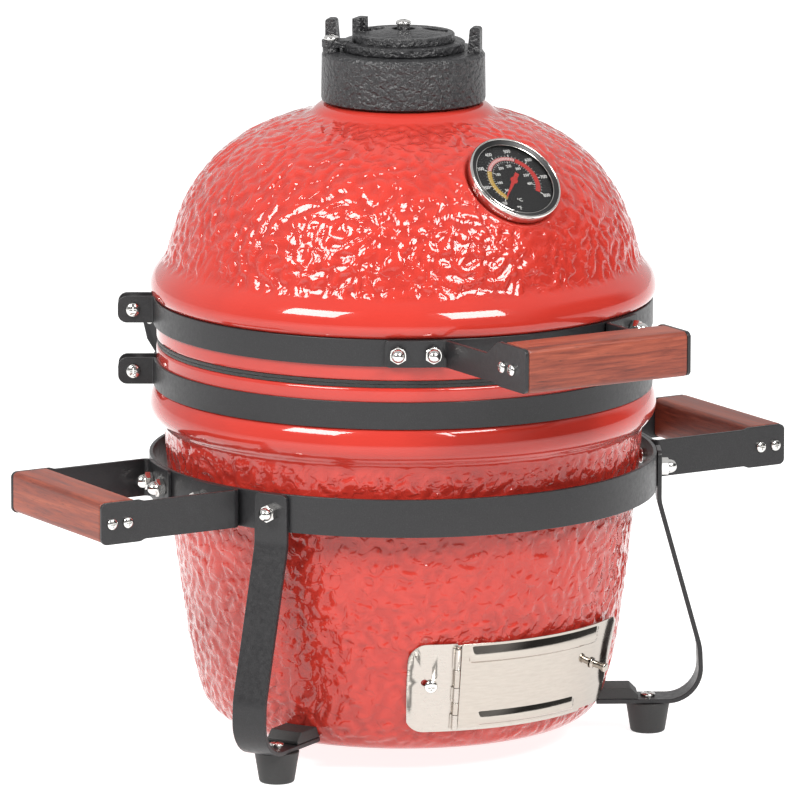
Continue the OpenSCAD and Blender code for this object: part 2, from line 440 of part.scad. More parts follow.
module leg_right() color(BLACK) leg(leg_phi[1]);
module leg_rear() color(BLACK) leg(leg_phi[2]);
module leg_pads() color(RUBBER) for (p = leg_phi) difference() {
  at(p) rotate([90, 0, 0]) translate([0, 0, -leg_w / 2 + 0.5]) linear_extrude(leg_w - 1) polygon([[122, strap_z + leg_t + 0.05], [154.5, strap_z + leg_t + 0.05], [154.5, 26], [149.5, 31], [122, 31]]);
  rotate_extrude($fn = 128) polygon([[0, 10], [119.4, 16.8], [124.6, 20.5], [128.6, 26], [131.5, 32], [134, 40], [0, 40]]);
}
module feet() color(RUBBER) for (p = leg_phi) at(p) translate([foot_r, 0, 0]) difference() {
  rotate_extrude($fn = 48) polygon([[0, 0], [10.6, 0], [11.4, 0.8], [14.6, foot_h + 0.4], [0, foot_h + 0.4]]);
  translate([0, 0, 6]) cylinder(r = 2.6, h = 20, $fn = 32);
}
module foot_screws() color(STEEL) for (p = leg_phi) at(p) translate([foot_r, 0, strap_z + leg_t + 0.05]) rotate([0, -90, 0]) pan_screw(2.5, 16, 5, 2.6);
module leg_bolts() color(STEEL) for (p = leg_phi) at(p) translate([0, 0, ring_z0 + ring_h / 2]) rotate([0, 0, 180]) translate([-(ring_r - ring_t) + 0.1, 0, 0]) pan_screw(3, 12, 5.2, 3.2);
module leg_nuts() color(STEEL) for (p = leg_phi) at(p) translate([ring_r + leg_t + 0.15, 0, ring_z0 + ring_h / 2]) acorn_nut(3.05, 10, 10.5, 8);

// ---------- side handles ----------
arm_y = 60.5;   // outer face of the arms
function arm_path() = let (R = ring_r + 1.4, ae = asin((arm_y - 1.25) / R)) bend(concat([for (a = [5:1.6:ae - 3]) [R * cos(a), R * sin(a)]],
  [[R * cos(ae), arm_y - 1.25], [side_x, arm_y - 1.25]]), concat([for (a = [5:1.6:ae - 3]) 0], [4, 4]), 6);
module side_arm(sx, sy) flip_x(sx < 0) flip_y(sy < 0) difference() {
  intersection() {
    translate([0, 0, 160]) linear_extrude(34) polygon(strip(arm_path(), 2.5));
    union() {
      translate([150, 0, ring_z0]) cube([84, 70, ring_h]);
      translate([150, 70, 0]) rotate([90, 0, 0]) linear_extrude(20) union() { translate([76, ring_z0]) square([10, ring_h]); rrect(79.5, 163.8, side_x - 150, 191, 4); }
    }
    union() { translate([156, 0, 150]) cube([120, 80, 50]); translate([150, 40, 0]) cube([20, 30, 200]); }
  }
  for (a = [8, 16]) rotate([0, 0, a]) translate([0, 0, ring_z0 + ring_h / 2]) xcyl(3.2, 150, 180);
  for (d = [7.5, 19]) translate([side_x - d, 0, 177.2]) rotate([-90, 0, 0]) cylinder(r = 2.1, h = 90, $fn = 32);
}
module left_handle_front_arm() color(BLACK) side_arm(-1, -1);
module left_handle_rear_arm() color(BLACK) side_arm(-1, 1);
module right_handle_front_arm() color(BLACK) side_arm(1, -1);
module right_handle_rear_arm() color(BLACK) side_arm(1, 1);
module side_bar(s) flip_x(s < 0) difference() {
  bar(side_x - 27, side_x - 0.1, arm_y - 2.6, 164.6, 191.2, 4);
  for (d = [7.5, 19]) for (q = [0, 180]) translate([side_x - d, 0, 177.2]) rotate([-90 + q, 0, 0]) translate([0, 0, 42]) cylinder(r = 2, h = 30, $fn = 32);
}
module left_handle_bar() color(WOOD) side_bar(-1);
module right_handle_bar() color(WOOD) side_bar(1);
module side_handle_screws() color(STEEL) for (sx = [-1, 1]) for (sy = [-1, 1]) for (d = [7.5, 19])
  translate([sx * (side_x - d), sy * arm_y, 177.2]) rotate([0, 0, sy * 90]) pan_screw(1.95, 16, 3.7, 2.6);
module side_handle_bolts() color(STEEL) for (s = [-1, 1]) for (a = [-16, -8, 8, 16]) at(s * 90 + a) translate([0, 0, ring_z0 + ring_h / 2]) rotate([0, 0, 180]) translate([-(ring_r - ring_t) + 0.1, 0, 0]) pan_screw(3, 12, 5.2, 3.2);
module side_handle_nuts() color(STEEL) for (s = [-1, 1]) for (a = [-16, -8, 8, 16]) at(s * 90 + a) translate([ring_r + 2.9, 0, ring_z0 + ring_h / 2]) acorn_nut(3.05, 10, 10.5, 8);

dome();
upper_gasket();
upper_front_band();
upper_rear_band();
upper_clamp_screws();
upper_clamp_nuts();
lid_handle_bracket_left();
lid_handle_bracket_right();
lid_handle_bar();
lid_handle_studs();
lid_handle_nuts();
lid_handle_screws();
thermometer_case();
thermometer_bezel();
thermometer_dial();
thermometer_glass();
thermometer_pointer();
thermometer_stem();
thermometer_nut();
damper_base();
damper_slide();
damper_pivot_screw();
damper_wheel();
damper_wheel_screw();
bowl();
lower_gasket();
lower_front_band();
lower_rear_band();
lower_clamp_screws();
lower_clamp_nuts();
hinge_pins();
hinge_pin_nuts();
fire_bowl();
fire_ring();
charcoal_grate();
cooking_grate();
draft_frame();
draft_frame_screws();
draft_door();
draft_door_knob();
draft_hinge_pin();
stand_ring();
leg_left();
leg_right();
leg_rear();
leg_pads();
feet();
foot_screws();
leg_bolts();
leg_nuts();
left_handle_front_arm();
left_handle_rear_arm();
right_handle_front_arm();
right_handle_rear_arm();
left_handle_bar();
right_handle_bar();
side_handle_screws();
side_handle_bolts();
side_handle_nuts();
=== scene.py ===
import json
import math

import bmesh
import bpy
import numpy as np
from mathutils import Matrix, Vector

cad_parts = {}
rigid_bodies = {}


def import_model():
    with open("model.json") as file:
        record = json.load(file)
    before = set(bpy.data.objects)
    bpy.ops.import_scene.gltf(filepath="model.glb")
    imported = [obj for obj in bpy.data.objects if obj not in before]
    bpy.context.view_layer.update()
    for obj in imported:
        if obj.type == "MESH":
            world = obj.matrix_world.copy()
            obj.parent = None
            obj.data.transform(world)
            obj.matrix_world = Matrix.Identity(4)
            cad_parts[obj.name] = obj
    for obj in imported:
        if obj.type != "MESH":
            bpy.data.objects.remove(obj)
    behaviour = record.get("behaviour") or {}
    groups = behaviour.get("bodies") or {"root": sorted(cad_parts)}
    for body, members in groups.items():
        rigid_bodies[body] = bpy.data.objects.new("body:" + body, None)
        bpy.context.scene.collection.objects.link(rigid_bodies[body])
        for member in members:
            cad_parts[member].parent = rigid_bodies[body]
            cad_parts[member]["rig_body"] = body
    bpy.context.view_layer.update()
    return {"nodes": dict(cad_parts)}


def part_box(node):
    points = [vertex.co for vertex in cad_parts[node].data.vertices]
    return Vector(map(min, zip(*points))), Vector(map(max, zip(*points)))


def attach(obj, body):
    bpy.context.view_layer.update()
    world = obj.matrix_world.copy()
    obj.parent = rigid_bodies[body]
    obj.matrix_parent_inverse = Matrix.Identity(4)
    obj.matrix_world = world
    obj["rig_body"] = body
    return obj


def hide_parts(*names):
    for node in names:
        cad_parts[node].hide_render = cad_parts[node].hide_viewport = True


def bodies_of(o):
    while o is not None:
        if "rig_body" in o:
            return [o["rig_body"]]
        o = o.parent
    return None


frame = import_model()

NODES = frame["nodes"]
MM = 0.001
rad = math.radians

# ------------------------------------------------------------------ node helpers


def new_mat(name):
    m = bpy.data.materials.new(name)
    m.use_nodes = True
    nt = m.node_tree
    return m, nt, nt.nodes["Principled BSDF"]


def add(nt, kind, **sock):
    n = nt.nodes.new(kind)
    for k, v in sock.items():
        n.inputs[k.replace("_", " ")].default_value = v
    return n


def coords(nt, scale=(1, 1, 1), rot=(0, 0, 0)):
    tc = nt.nodes.new("ShaderNodeTexCoord")
    mp = nt.nodes.new("ShaderNodeMapping")
    mp.inputs["Scale"].default_value = scale
    mp.inputs["Rotation"].default_value = rot
    nt.links.new(tc.outputs["Object"], mp.inputs["Vector"])
    return mp.outputs["Vector"]


def noise(nt, vec, scale, detail=3.0, rough=0.5, dist=0.0):
    n = add(nt, "ShaderNodeTexNoise", Scale=scale, Detail=detail, Roughness=rough, Distortion=dist)
    nt.links.new(vec, n.inputs["Vector"])
    return n.outputs["Fac"]


def ramp(nt, fac, stops):
    r = nt.nodes.new("ShaderNodeValToRGB")
    e = r.color_ramp.elements
    while len(e) < len(stops):
        e.new(0.5)
    for el, (p, c) in zip(e, stops):
        el.position = p
        el.color = (*c, 1) if len(c) == 3 else c
    nt.links.new(fac, r.inputs["Fac"])
    return r.outputs["Color"]


def spread(nt, fac, a0, a1, b0, b1):
    n = nt.nodes.new("ShaderNodeMapRange")
    for k, v in (("From Min", a0), ("From Max", a1), ("To Min", b0), ("To Max", b1)):
        n.inputs[k].default_value = v
    nt.links.new(fac, n.inputs["Value"])
    return n.outputs["Result"]


def bump(nt, height, dist, strength=1.0, normal=None):
    b = nt.nodes.new("ShaderNodeBump")
    b.inputs["Strength"].default_value = strength
    b.inputs["Distance"].default_value = dist
    nt.links.new(height, b.inputs["Height"])
    if normal is not None:
        nt.links.new(normal, b.inputs["Normal"])
    return b.outputs["Normal"]


def grey(v):
    return (v, v, v)


# ------------------------------------------------------------------ materials


def mat_glaze():
    m, nt, p = new_mat("glaze_red")
    v = coords(nt)
    at = nt.nodes.new("ShaderNodeAttribute")
    at.attribute_name = "relief"
    big = noise(nt, v, 26, 3, 0.5)
    mix = nt.nodes.new("ShaderNodeMath")
    mix.operation = "MULTIPLY_ADD"
    mix.inputs[1].default_value = 0.42
    nt.links.new(at.outputs["Fac"], mix.inputs[0])
    nt.links.new(big, mix.inputs[2])
    # glaze runs thin and light on the high spots, pools deep and dark in the low ones
    c = ramp(nt, mix.outputs[0], [(0.05, (0.33, 0.0235, 0.0165)), (0.42, (0.37, 0.0265, 0.018)), (0.62, (0.385, 0.0275, 0.0185)), (0.95, (0.40, 0.0295, 0.0195))])
    nt.links.new(c, p.inputs["Base Color"])
    nt.links.new(spread(nt, noise(nt, v, 90, 3, 0.6), 0.3, 0.7, 0.13, 0.2), p.inputs["Roughness"])
    p.inputs["IOR"].default_value = 1.45
    p.inputs["Specular IOR Level"].default_value = 0.10
    p.inputs["Coat Weight"].default_value = 0.92
    p.inputs["Coat IOR"].default_value = 1.48
    p.inputs["Coat Roughness"].default_value = 0.02
    # crisp little edges where the skin is worked, none on the smooth beads
    wk = nt.nodes.new("ShaderNodeAttribute")
    wk.attribute_name = "worked"
    worm = spread(nt, noise(nt, v, 128, 1, 0.35, 0.9), 0.43, 0.57, 0.0, 1.0)
    cut = nt.nodes.new("ShaderNodeMath")
    cut.operation = "MULTIPLY"
    nt.links.new(worm, cut.inputs[0])
    nt.links.new(wk.outputs["Fac"], cut.inputs[1])
    nrm = bump(nt, cut.outputs[0], 0.00042, 0.8, bump(nt, noise(nt, v, 200, 2, 0.5), 0.00008, 0.3))
    nt.links.new(nrm, p.inputs["Normal"])
    nt.links.new(nrm, p.inputs["Coat Normal"])
    return m


def mat_powder():
    m, nt, p = new_mat("powder_coat_black")
    v = coords(nt)
    fine = noise(nt, v, 1500, 2, 0.6)
    c = ramp(nt, fine, [(0.3, (0.0085, 0.0085, 0.0093)), (0.6, (0.0145, 0.0142, 0.0155)), (0.8, (0.030, 0.0295, 0.032))])
    nt.links.new(c, p.inputs["Base Color"])
    nt.links.new(spread(nt, noise(nt, v, 320, 3, 0.6), 0.3, 0.7, 0.30, 0.44), p.inputs["Roughness"])
    p.inputs["Specular IOR Level"].default_value = 0.42
    nt.links.new(bump(nt, fine, 0.00006, 0.5, bump(nt, noise(nt, v, 420, 2, 0.5), 0.0001, 0.45)), p.inputs["Normal"])
    return m


def mat_iron():
    m, nt, p = new_mat("cast_iron")
    v = coords(nt)
    grain = noise(nt, v, 420, 4, 0.6)
    lump = noise(nt, v, 300, 2, 0.45, 0.6)
    c = ramp(nt, grain, [(0.28, (0.0095, 0.0095, 0.0105)), (0.55, (0.017, 0.017, 0.0185)), (0.78, (0.034, 0.034, 0.037))])
    nt.links.new(c, p.inputs["Base Color"])
    nt.links.new(spread(nt, grain, 0.3, 0.7, 0.26, 0.42), p.inputs["Roughness"])
    nt.links.new(bump(nt, grain, 0.0010, 0.6, bump(nt, lump, 0.0026, 0.85)), p.inputs["Normal"])
    return m


def mat_wood():
    m, nt, p = new_mat("oiled_red_wood")
    at = nt.nodes.new("ShaderNodeAttribute")
    at.attribute_name = "grain_uvw"
    mp = nt.nodes.new("ShaderNodeMapping")
    nt.links.new(at.outputs["Vector"], mp.inputs["Vector"])
    mp.inputs["Scale"].default_value = (1, 1, 1)
    v = mp.outputs["Vector"]

    def stretched(k):
        q = nt.nodes.new("ShaderNodeMapping")
        q.inputs["Scale"].default_value = (0.06, 1, 1)
        nt.links.new(v, q.inputs["Vector"])
        return noise(nt, q.outputs["Vector"], k, 5, 0.62, 0.35)

    fibre, pore, broad = stretched(520), stretched(1700), stretched(95)
    mixv = nt.nodes.new("ShaderNodeMath")
    mixv.operation = "MULTIPLY_ADD"
    mixv.inputs[1].default_value = 0.55
    nt.links.new(fibre, mixv.inputs[0])
    half = nt.nodes.new("ShaderNodeMath")
    half.operation = "MULTIPLY"
    half.inputs[1].default_value = 0.45
    nt.links.new(broad, half.inputs[0])
    nt.links.new(half.outputs[0], mixv.inputs[2])
    c = ramp(nt, mixv.outputs[0], [(0.32, (0.065, 0.0095, 0.0045)), (0.44, (0.155, 0.026, 0.012)), (0.55, (0.235, 0.047, 0.022)), (0.70, (0.34, 0.088, 0.046))])
    dark = ramp(nt, pore, [(0.33, grey(0.45)), (0.43, grey(1.0))])
    mul = nt.nodes.new("ShaderNodeMix")
    mul.data_type = "RGBA"
    mul.blend_type = "MULTIPLY"
    mul.inputs[0].default_value = 0.8
    nt.links.new(c, mul.inputs[6])
    nt.links.new(dark, mul.inputs[7])
    nt.links.new(mul.outputs[2], p.inputs["Base Color"])
    nt.links.new(spread(nt, fibre, 0.3, 0.7, 0.36, 0.5), p.inputs["Roughness"])
    nt.links.new(bump(nt, pore, 0.00012, 0.4, bump(nt, fibre, 0.0002, 0.35)), p.inputs["Normal"])
    return m


def mat_steel(name, base, r0, r1, stretch=(1, 1, 1), k=400, b=0.00002):
    m, nt, p = new_mat(name)
    v = coords(nt, stretch)
    n = noise(nt, v, k, 3, 0.6)
    p.inputs["Metallic"].default_value = 1.0
    base = base if isinstance(base, tuple) else grey(base)
    nt.links.new(ramp(nt, n, [(0.25, tuple(x * 0.9 for x in base)), (0.75, base)]), p.inputs["Base Color"])
    nt.links.new(spread(nt, n, 0.25, 0.75, r0, r1), p.inputs["Roughness"])
    nt.links.new(bump(nt, n, b, 0.6), p.inputs["Normal"])
    return m


def mat_felt():
    m, nt, p = new_mat("felt_gasket")
    v = coords(nt)
    n = noise(nt, v, 1500, 4, 0.7, 0.6)
    nt.links.new(ramp(nt, n, [(0.3, grey(0.006)), (0.7, grey(0.022))]), p.inputs["Base Color"])
    nt.links.new(spread(nt, n, 0.3, 0.7, 0.9, 1.0), p.inputs["Roughness"])
    p.inputs["Sheen Weight"].default_value = 0.25
    p.inputs["Sheen Roughness"].default_value = 0.5
    nt.links.new(bump(nt, n, 0.0004, 0.9), p.inputs["Normal"])
    return m


def mat_rubber():
    m, nt, p = new_mat("rubber_black")
    v = coords(nt)
    n = noise(nt, v, 700, 3, 0.6)
    nt.links.new(ramp(nt, n, [(0.3, grey(0.012)), (0.7, grey(0.022))]), p.inputs["Base Color"])
    nt.links.new(spread(nt, n, 0.3, 0.7, 0.48, 0.62), p.inputs["Roughness"])
    nt.links.new(bump(nt, n, 0.0001, 0.5), p.inputs["Normal"])
    return m


def mat_refractory():
    m, nt, p = new_mat("refractory")
    v = coords(nt)
    n = noise(nt, v, 240, 6, 0.65)
    sp = noise(nt, v, 900, 2, 0.5)
    c = ramp(nt, n, [(0.3, (0.20, 0.155, 0.11)), (0.55, (0.30, 0.24, 0.175)), (0.75, (0.37, 0.31, 0.24))])
    d = ramp(nt, sp, [(0.30, grey(0.4)), (0.38, grey(1.0))])
    mul = nt.nodes.new("ShaderNodeMix")
    mul.data_type = "RGBA"
    mul.blend_type = "MULTIPLY"
    mul.inputs[0].default_value = 0.7
    nt.links.new(c, mul.inputs[6])
    nt.links.new(d, mul.inputs[7])
    nt.links.new(mul.outputs[2], p.inputs["Base Color"])
    nt.links.new(spread(nt, n, 0.3, 0.7, 0.78, 0.95), p.inputs["Roughness"])
    nt.links.new(bump(nt, n, 0.0006, 0.6), p.inputs["Normal"])
    return m


def mat_paint(name, col, rough=0.4, k=900):
    m, nt, p = new_mat(name)
    v = coords(nt)
    n = noise(nt, v, k, 2, 0.5)
    dk = tuple(x * 0.86 for x in col)
    nt.links.new(ramp(nt, n, [(0.3, dk), (0.7, col)]), p.inputs["Base Color"])
    nt.links.new(spread(nt, n, 0.3, 0.7, rough, rough + 0.08), p.inputs["Roughness"])
    return m


def mat_glass():
    m, nt, p = new_mat("clear_glass")
    v = coords(nt)
    p.inputs["Base Color"].default_value = (0.01, 0.011, 0.011, 1)
    p.inputs["IOR"].default_value = 1.45
    p.inputs["Alpha"].default_value = 0.08
    nt.links.new(spread(nt, noise(nt, v, 300, 2, 0.5), 0.3, 0.7, 0.0, 0.03), p.inputs["Roughness"])
    return m


M = {
    "glaze": mat_glaze(),
    "powder": mat_powder(),
    "iron": mat_iron(),
    "wood": mat_wood(),
    "brushed": mat_steel("brushed_stainless", (0.50, 0.465, 0.425), 0.25, 0.34, (1, 1, 6), 160, 0.00002),
    "chrome": mat_steel("chrome", (0.74, 0.73, 0.71), 0.09, 0.16, k=500),
    "door": mat_steel("polished_stainless", (0.47, 0.43, 0.385), 0.07, 0.12, (1, 1, 6), 120, 0.00002),
    "bezel": mat_steel("bezel_steel", (0.70, 0.685, 0.66), 0.10, 0.17, k=700),
    "grate": mat_steel("grate_steel", 0.62, 0.18, 0.30, k=500, b=0.00006),
    "felt": mat_felt(),
    "rubber": mat_rubber(),
    "refractory": mat_refractory(),
    "dial": mat_paint("dial_black", (0.0042, 0.0042, 0.0046), 0.38),
    "white": mat_paint("dial_white", (0.52, 0.52, 0.51), 0.5),
    "yellow": mat_paint("dial_yellow", (0.36, 0.235, 0.05), 0.5),
    "pink": mat_paint("dial_pink", (0.40, 0.13, 0.125), 0.5),
    "red": mat_paint("dial_red", (0.36, 0.022, 0.018), 0.42),
    "glass": mat_glass(),
}

# ------------------------------------------------------------------ mesh helpers


def link(name, me, mat, body=None, replaces=(), smooth=35, weighted=False):
    ob = bpy.data.objects.new(name, me)
    bpy.context.scene.collection.objects.link(ob)
    me.materials.clear()
    me.materials.append(M[mat] if isinstance(mat, str) else mat)
    if smooth:
        me.shade_smooth()
        me.set_sharp_from_angle(angle=rad(smooth))
    if weighted:
        w = ob.modifiers.new("weighted", "WEIGHTED_NORMAL")
        w.keep_sharp = True
        w.weight = 60
    if replaces:
        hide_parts(*replaces)
    if body:
        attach(ob, body)
    return ob


def mesh_quads(name, V, F):
    """F is an (n, 4) array; extra n-gons can be given as lists after it."""
    quads, caps = F
    me = bpy.data.meshes.new(name)
    V = np.asarray(V, float)
    me.vertices.add(len(V))
    me.vertices.foreach_set("co", V.ravel())
    idx = np.concatenate([quads.ravel()] + [np.asarray(c) for c in caps]).astype(np.int32)
    starts = np.concatenate([np.arange(len(quads)) * 4, len(quads) * 4 + np.cumsum([0] + [len(c) for c in caps])[:-1]]).astype(np.int32) if caps else (np.arange(len(quads)) * 4).astype(np.int32)
    me.loops.add(len(idx))
    me.loops.foreach_set("vertex_index", idx)
    me.polygons.add(len(starts))
    me.polygons.foreach_set("loop_start", starts)
    me.update(calc_edges=True)
    me.validate()
    return me


def body_of(node):
    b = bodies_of(NODES[node])
    return b if isinstance(b, str) else b[0]


def polish(node, mat, width=0.35, seg=2, limit=33, merge=1e-6):
    """A finished copy of a CAD node: welded, flat faces merged, sharp edges really rounded, weighted normals."""
    src = NODES[node]
    me = src.data.copy()
    me.name = node + "_finish"
    bm = bmesh.new()
    bm.from_mesh(me)
    bmesh.ops.remove_doubles(bm, verts=bm.verts, dist=merge)
    bmesh.ops.dissolve_limit(bm, angle_limit=rad(0.4), verts=bm.verts, edges=bm.edges, use_dissolve_boundaries=False)
    vol0 = abs(bm.calc_volume())
    if width:
        best = None
        for w in (width, width * 0.6, width * 0.35):
            b2 = bm.copy()
            sharp = [e for e in b2.edges if len(e.link_faces) == 2 and e.calc_face_angle(0) > rad(limit)]
            bmesh.ops.bevel(b2, geom=sharp, offset=w * MM, offset_type="OFFSET", segments=seg, profile=0.5, affect="EDGES", clamp_overlap=True)
            vol = abs(b2.calc_volume())
            lo = Vector(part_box(node)[0])
            hi = Vector(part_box(node)[1])
            inside = all(all(lo[k] - 2e-5 <= v.co[k] <= hi[k] + 2e-5 for k in range(3)) for v in b2.verts)
            if inside and 0.9 < vol / vol0 < 1.02:
                best = b2
                break
            b2.free()
        if best is not None:
            bm.free()
            bm = best
    bm.to_mesh(me)
    bm.free()
    for at in list(me.color_attributes):
        me.color_attributes.remove(at)
    return link(node + "_finish", me, mat, None, (node,), 40, True)


def finish_node(node, mat, **kw):
    ob = polish(node, mat, **kw)
    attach(ob, body_of(node))
    return ob


def cr(p, n):
    p = np.asarray(p, float)
    out = []
    for i in range(len(p) - 1):
        a, b, c, d = p[max(i - 1, 0)], p[i], p[i + 1], p[min(i + 2, len(p) - 1)]
        for j in range(n):
            t = j / n
            out.append(0.5 * (2 * b + (c - a) * t + (2 * a - 5 * b + 4 * c - d) * t * t + (3 * b - a - 3 * c + d) * t ** 3))
    out.append(p[-1])
    return np.array(out)


def resample(p, step):
    p = np.asarray(p, float)
    d = np.r_[0, np.cumsum(np.hypot(*np.diff(p, axis=0).T))]
    n = max(int(round(d[-1] / step)), 1)
    s = np.linspace(0, d[-1], n + 1)
    return np.c_[np.interp(s, d, p[:, 0]), np.interp(s, d, p[:, 1])]


def joinp(*parts):
    out = [np.asarray(parts[0], float)]
    for q in parts[1:]:
        q = np.asarray(q, float)
        out.append(q[1:] if np.hypot(*(q[0] - out[-1][-1])) < 1e-6 else q)
    return np.vstack(out)


def smoothstep(x, a, b):
    t = np.clip((x - a) / (b - a), 0, 1)
    return t * t * (3 - 2 * t)


def waves(P, lam, spr, n, seed):
    g = np.random.default_rng(seed)
    d = g.normal(size=(n, 3))
    d /= np.linalg.norm(d, axis=1)[:, None]
    k = 2 * np.pi / (lam * (1 + spr * g.uniform(-1, 1, n)))
    ph = g.uniform(0, 2 * np.pi, n)
    K = (d * k[:, None]).T
    out = np.empty(len(P))
    for i in range(0, len(P), 20000):
        out[i:i + 20000] = np.cos(P[i:i + 20000] @ K + ph).sum(1)
    return out * math.sqrt(2 / n)


def relief(P):
    """Rounded worm-like relief of the glaze, about 9 mm from ridge to ridge."""
    W = np.c_[waves(P, 34, 0.3, 14, 1), waves(P, 34, 0.3, 14, 2), waves(P, 34, 0.3, 14, 3)]
    Q = P + 2.2 * W
    f = waves(Q, 8.8, 0.20, 70, 5)
    g = waves(P, 52, 0.4, 16, 9)
    h = waves(Q, 5.2, 0.25, 50, 13)
    return np.tanh(1.6 * f) * (0.85 + 0.2 * np.tanh(g)) + 0.12 * h


def grid_faces(R, C, wrap_r=False, wrap_c=True, skip=None):
    r = np.arange(R if wrap_r else R - 1)
    c = np.arange(C if wrap_c else C - 1)
    rr, cc = np.meshgrid(r, c, indexing="ij")
    r1 = (rr + 1) % R
    c1 = (cc + 1) % C
    q = np.stack([rr * C + cc, rr * C + c1, r1 * C + c1, r1 * C + cc], -1)
    if skip is not None:
        q = q[~skip(rr, cc)]
    return q.reshape(-1, 4)


def lathe_pts(prof, th):
    prof = np.asarray(prof)
    X = prof[:, 0][:, None] * np.cos(th)[None]
    Y = prof[:, 0][:, None] * np.sin(th)[None]
    Z = np.repeat(prof[:, 1][:, None], len(th), 1)
    return np.stack([X, Y, Z], -1)


def prof_normals(prof, closed=False):
    p = np.asarray(prof, float)
    if closed:
        t = np.roll(p, -1, 0) - np.roll(p, 1, 0)
    else:
        t = np.gradient(p, axis=0)
    n = np.c_[t[:, 1], -t[:, 0]]
    return n / np.maximum(np.linalg.norm(n, axis=1), 1e-9)[:, None]


# ------------------------------------------------------------------ ceramic dome
T_A = rad(45)
T_P = rad(5)
T_O = np.array([121.0 * math.sin(T_P), -121.0 * math.cos(T_P), 385.0])
T_X = np.array([math.cos(T_P), math.sin(T_P), 0])
T_Y = np.array([-math.cos(T_A) * math.sin(T_P), math.cos(T_A) * math.cos(T_P), math.sin(T_A)])
T_Z = np.array([math.sin(T_A) * math.sin(T_P), -math.sin(T_A) * math.cos(T_P), math.cos(T_A)])

dz0 = 265.7
dome_ctrl = [(161.5, 293.2), (163.7, 295.2), (164.8, 298), (165, 301), (164.3, 305), (162.4, 309.5), (159.3, 313.6), (156.2, 317), (154, 321),
             (152.4, 326.5), (149.8, 336), (146.2, 346.5), (141.5, 357), (135.4, 367), (127.6, 377.4), (118, 387), (106.5, 395.6), (93, 402.8),
             (79, 408.4), (68, 411.6), (60.5, 414.4), (57, 417.4), (53.5, 419.6), (49.5, 420.4), (45.5, 420.5)]
dome_in = [(37, 402), (60, 394.5), (85, 383), (105, 368), (120, 350), (129, 330), (134, 305), (137, 283), (138, 268)]


def cut_where(p, test):
    k = [i for i, q in enumerate(p) if test(q)]
    return p[k[0]:k[-1] + 1]


dense = cr(dome_ctrl, 16)
iA = int(np.argmax(dense[:, 1] > 318))
iB = int(np.argmax(dense[:, 0] < 70))
edge = [(159 + 2 * math.sin(rad(a)), 267.7 - 2 * math.cos(rad(a))) for a in (0, 30, 60, 90)]
dome_prof = joinp(edge, resample([edge[-1], (161, 292.8)], 8), resample(np.vstack([[161, 292.8], dense[:iA + 1]]), 1.25),
                  resample(dense[iA:iB + 1], 1.5), resample(dense[iB:], 1.6), [(45.5, 420.5), (45.5, 434), (43.5, 436), (37, 436), (37, 420), (37, 402)],
                  resample(cr(dome_in, 6), 12), [(138, 265.7)], [(138, 265.7), (148, 265.7)])
ND = 596
thd = np.linspace(0, 2 * np.pi, ND, endpoint=False)
P = lathe_pts(dome_prof, thd)
pn = prof_normals(dome_prof, True)
n_out = np.argmax((dome_prof[:, 0] < 45.6) & (dome_prof[:, 1] > 420)) + 1
N3 = np.stack([pn[:, 0][:, None] * np.cos(thd)[None], pn[:, 0][:, None] * np.sin(thd)[None], np.repeat(pn[:, 1][:, None], ND, 1)], -1)
zz, rr_ = P[..., 2], np.hypot(P[..., 0], P[..., 1])
mask = smoothstep(zz, 313.5, 322) * smoothstep(rr_, 57.5, 68)
mask[n_out:] = 0
L = P - T_O
lx, ly, lz = L @ T_X, L @ T_Y, L @ T_Z
lr = np.hypot(lx, ly)
mask = mask * smoothstep(lr, 32.0, 37.5)
flat = P[:n_out].reshape(-1, 3)
rel = np.zeros(P.shape[:2])
rel[:n_out] = relief(flat).reshape(n_out, ND)
rel = rel * mask
slow = np.zeros(P.shape[:2])
slow[:n_out] = waves(flat, 95, 0.4, 16, 21).reshape(n_out, ND) * smoothstep(rr_[:n_out], 50, 80) * smoothstep(zz[:n_out], 300, 330)
A_DOME = 0.60
P = P + N3 * ((A_DOME * rel + 0.10 * slow - 0.10 * mask)[..., None])
# flat seat under the thermometer
L = P - T_O
lz = L @ T_Z
fade = 1 - smoothstep(lr, 30.6, 34.2)
seat = (lz > -6.5) & (lz > -30) & (fade > 0)
seat[n_out:] = False
P = P - T_Z * (np.where(seat, (lz + 6.5) * fade, 0)[..., None])
me = mesh_quads("dome_glazed", P.reshape(-1, 3) * MM, (grid_faces(len(dome_prof), ND, wrap_r=True), []))
a = me.attributes.new("relief", "FLOAT", "POINT")
a.data.foreach_set("value", rel.ravel().astype(np.float32))
a = me.attributes.new("worked", "FLOAT", "POINT")
a.data.foreach_set("value", mask.ravel().astype(np.float32))
dome = link("dome_glazed", me, "glaze", "lid", ("dome",), 42)
me.materials.append(M["refractory"])
row = np.arange(len(me.polygons)) // ND
me.polygons.foreach_set("material_index", (row >= n_out - 1).astype(np.int32))

# ------------------------------------------------------------------ ceramic bowl
bowl_ctrl = [(104, 14.2), (111, 14.6), (119, 16.8), (124.3, 20.5), (128.3, 26), (131.2, 32), (133.7, 40), (136.8, 52), (140.1, 68), (143.5, 90),
             (147, 115), (150.3, 145), (153.8, 180), (155.4, 198), (156, 205), (157.6, 209.5), (161.6, 213.8), (164.6, 218.2), (165.5, 222.5),
             (165, 227), (163.6, 231.4), (161.6, 234.4)]
bowl_in = [(138, 261.3), (137.4, 225), (135.5, 190), (132, 150), (127.5, 105), (122, 66), (116, 47), (106, 37.5), (92, 34)]
Z0, Z1, F0, F1 = 42.0, 80.0, -11.0, 23.0
dense = cr(bowl_ctrl, 16)


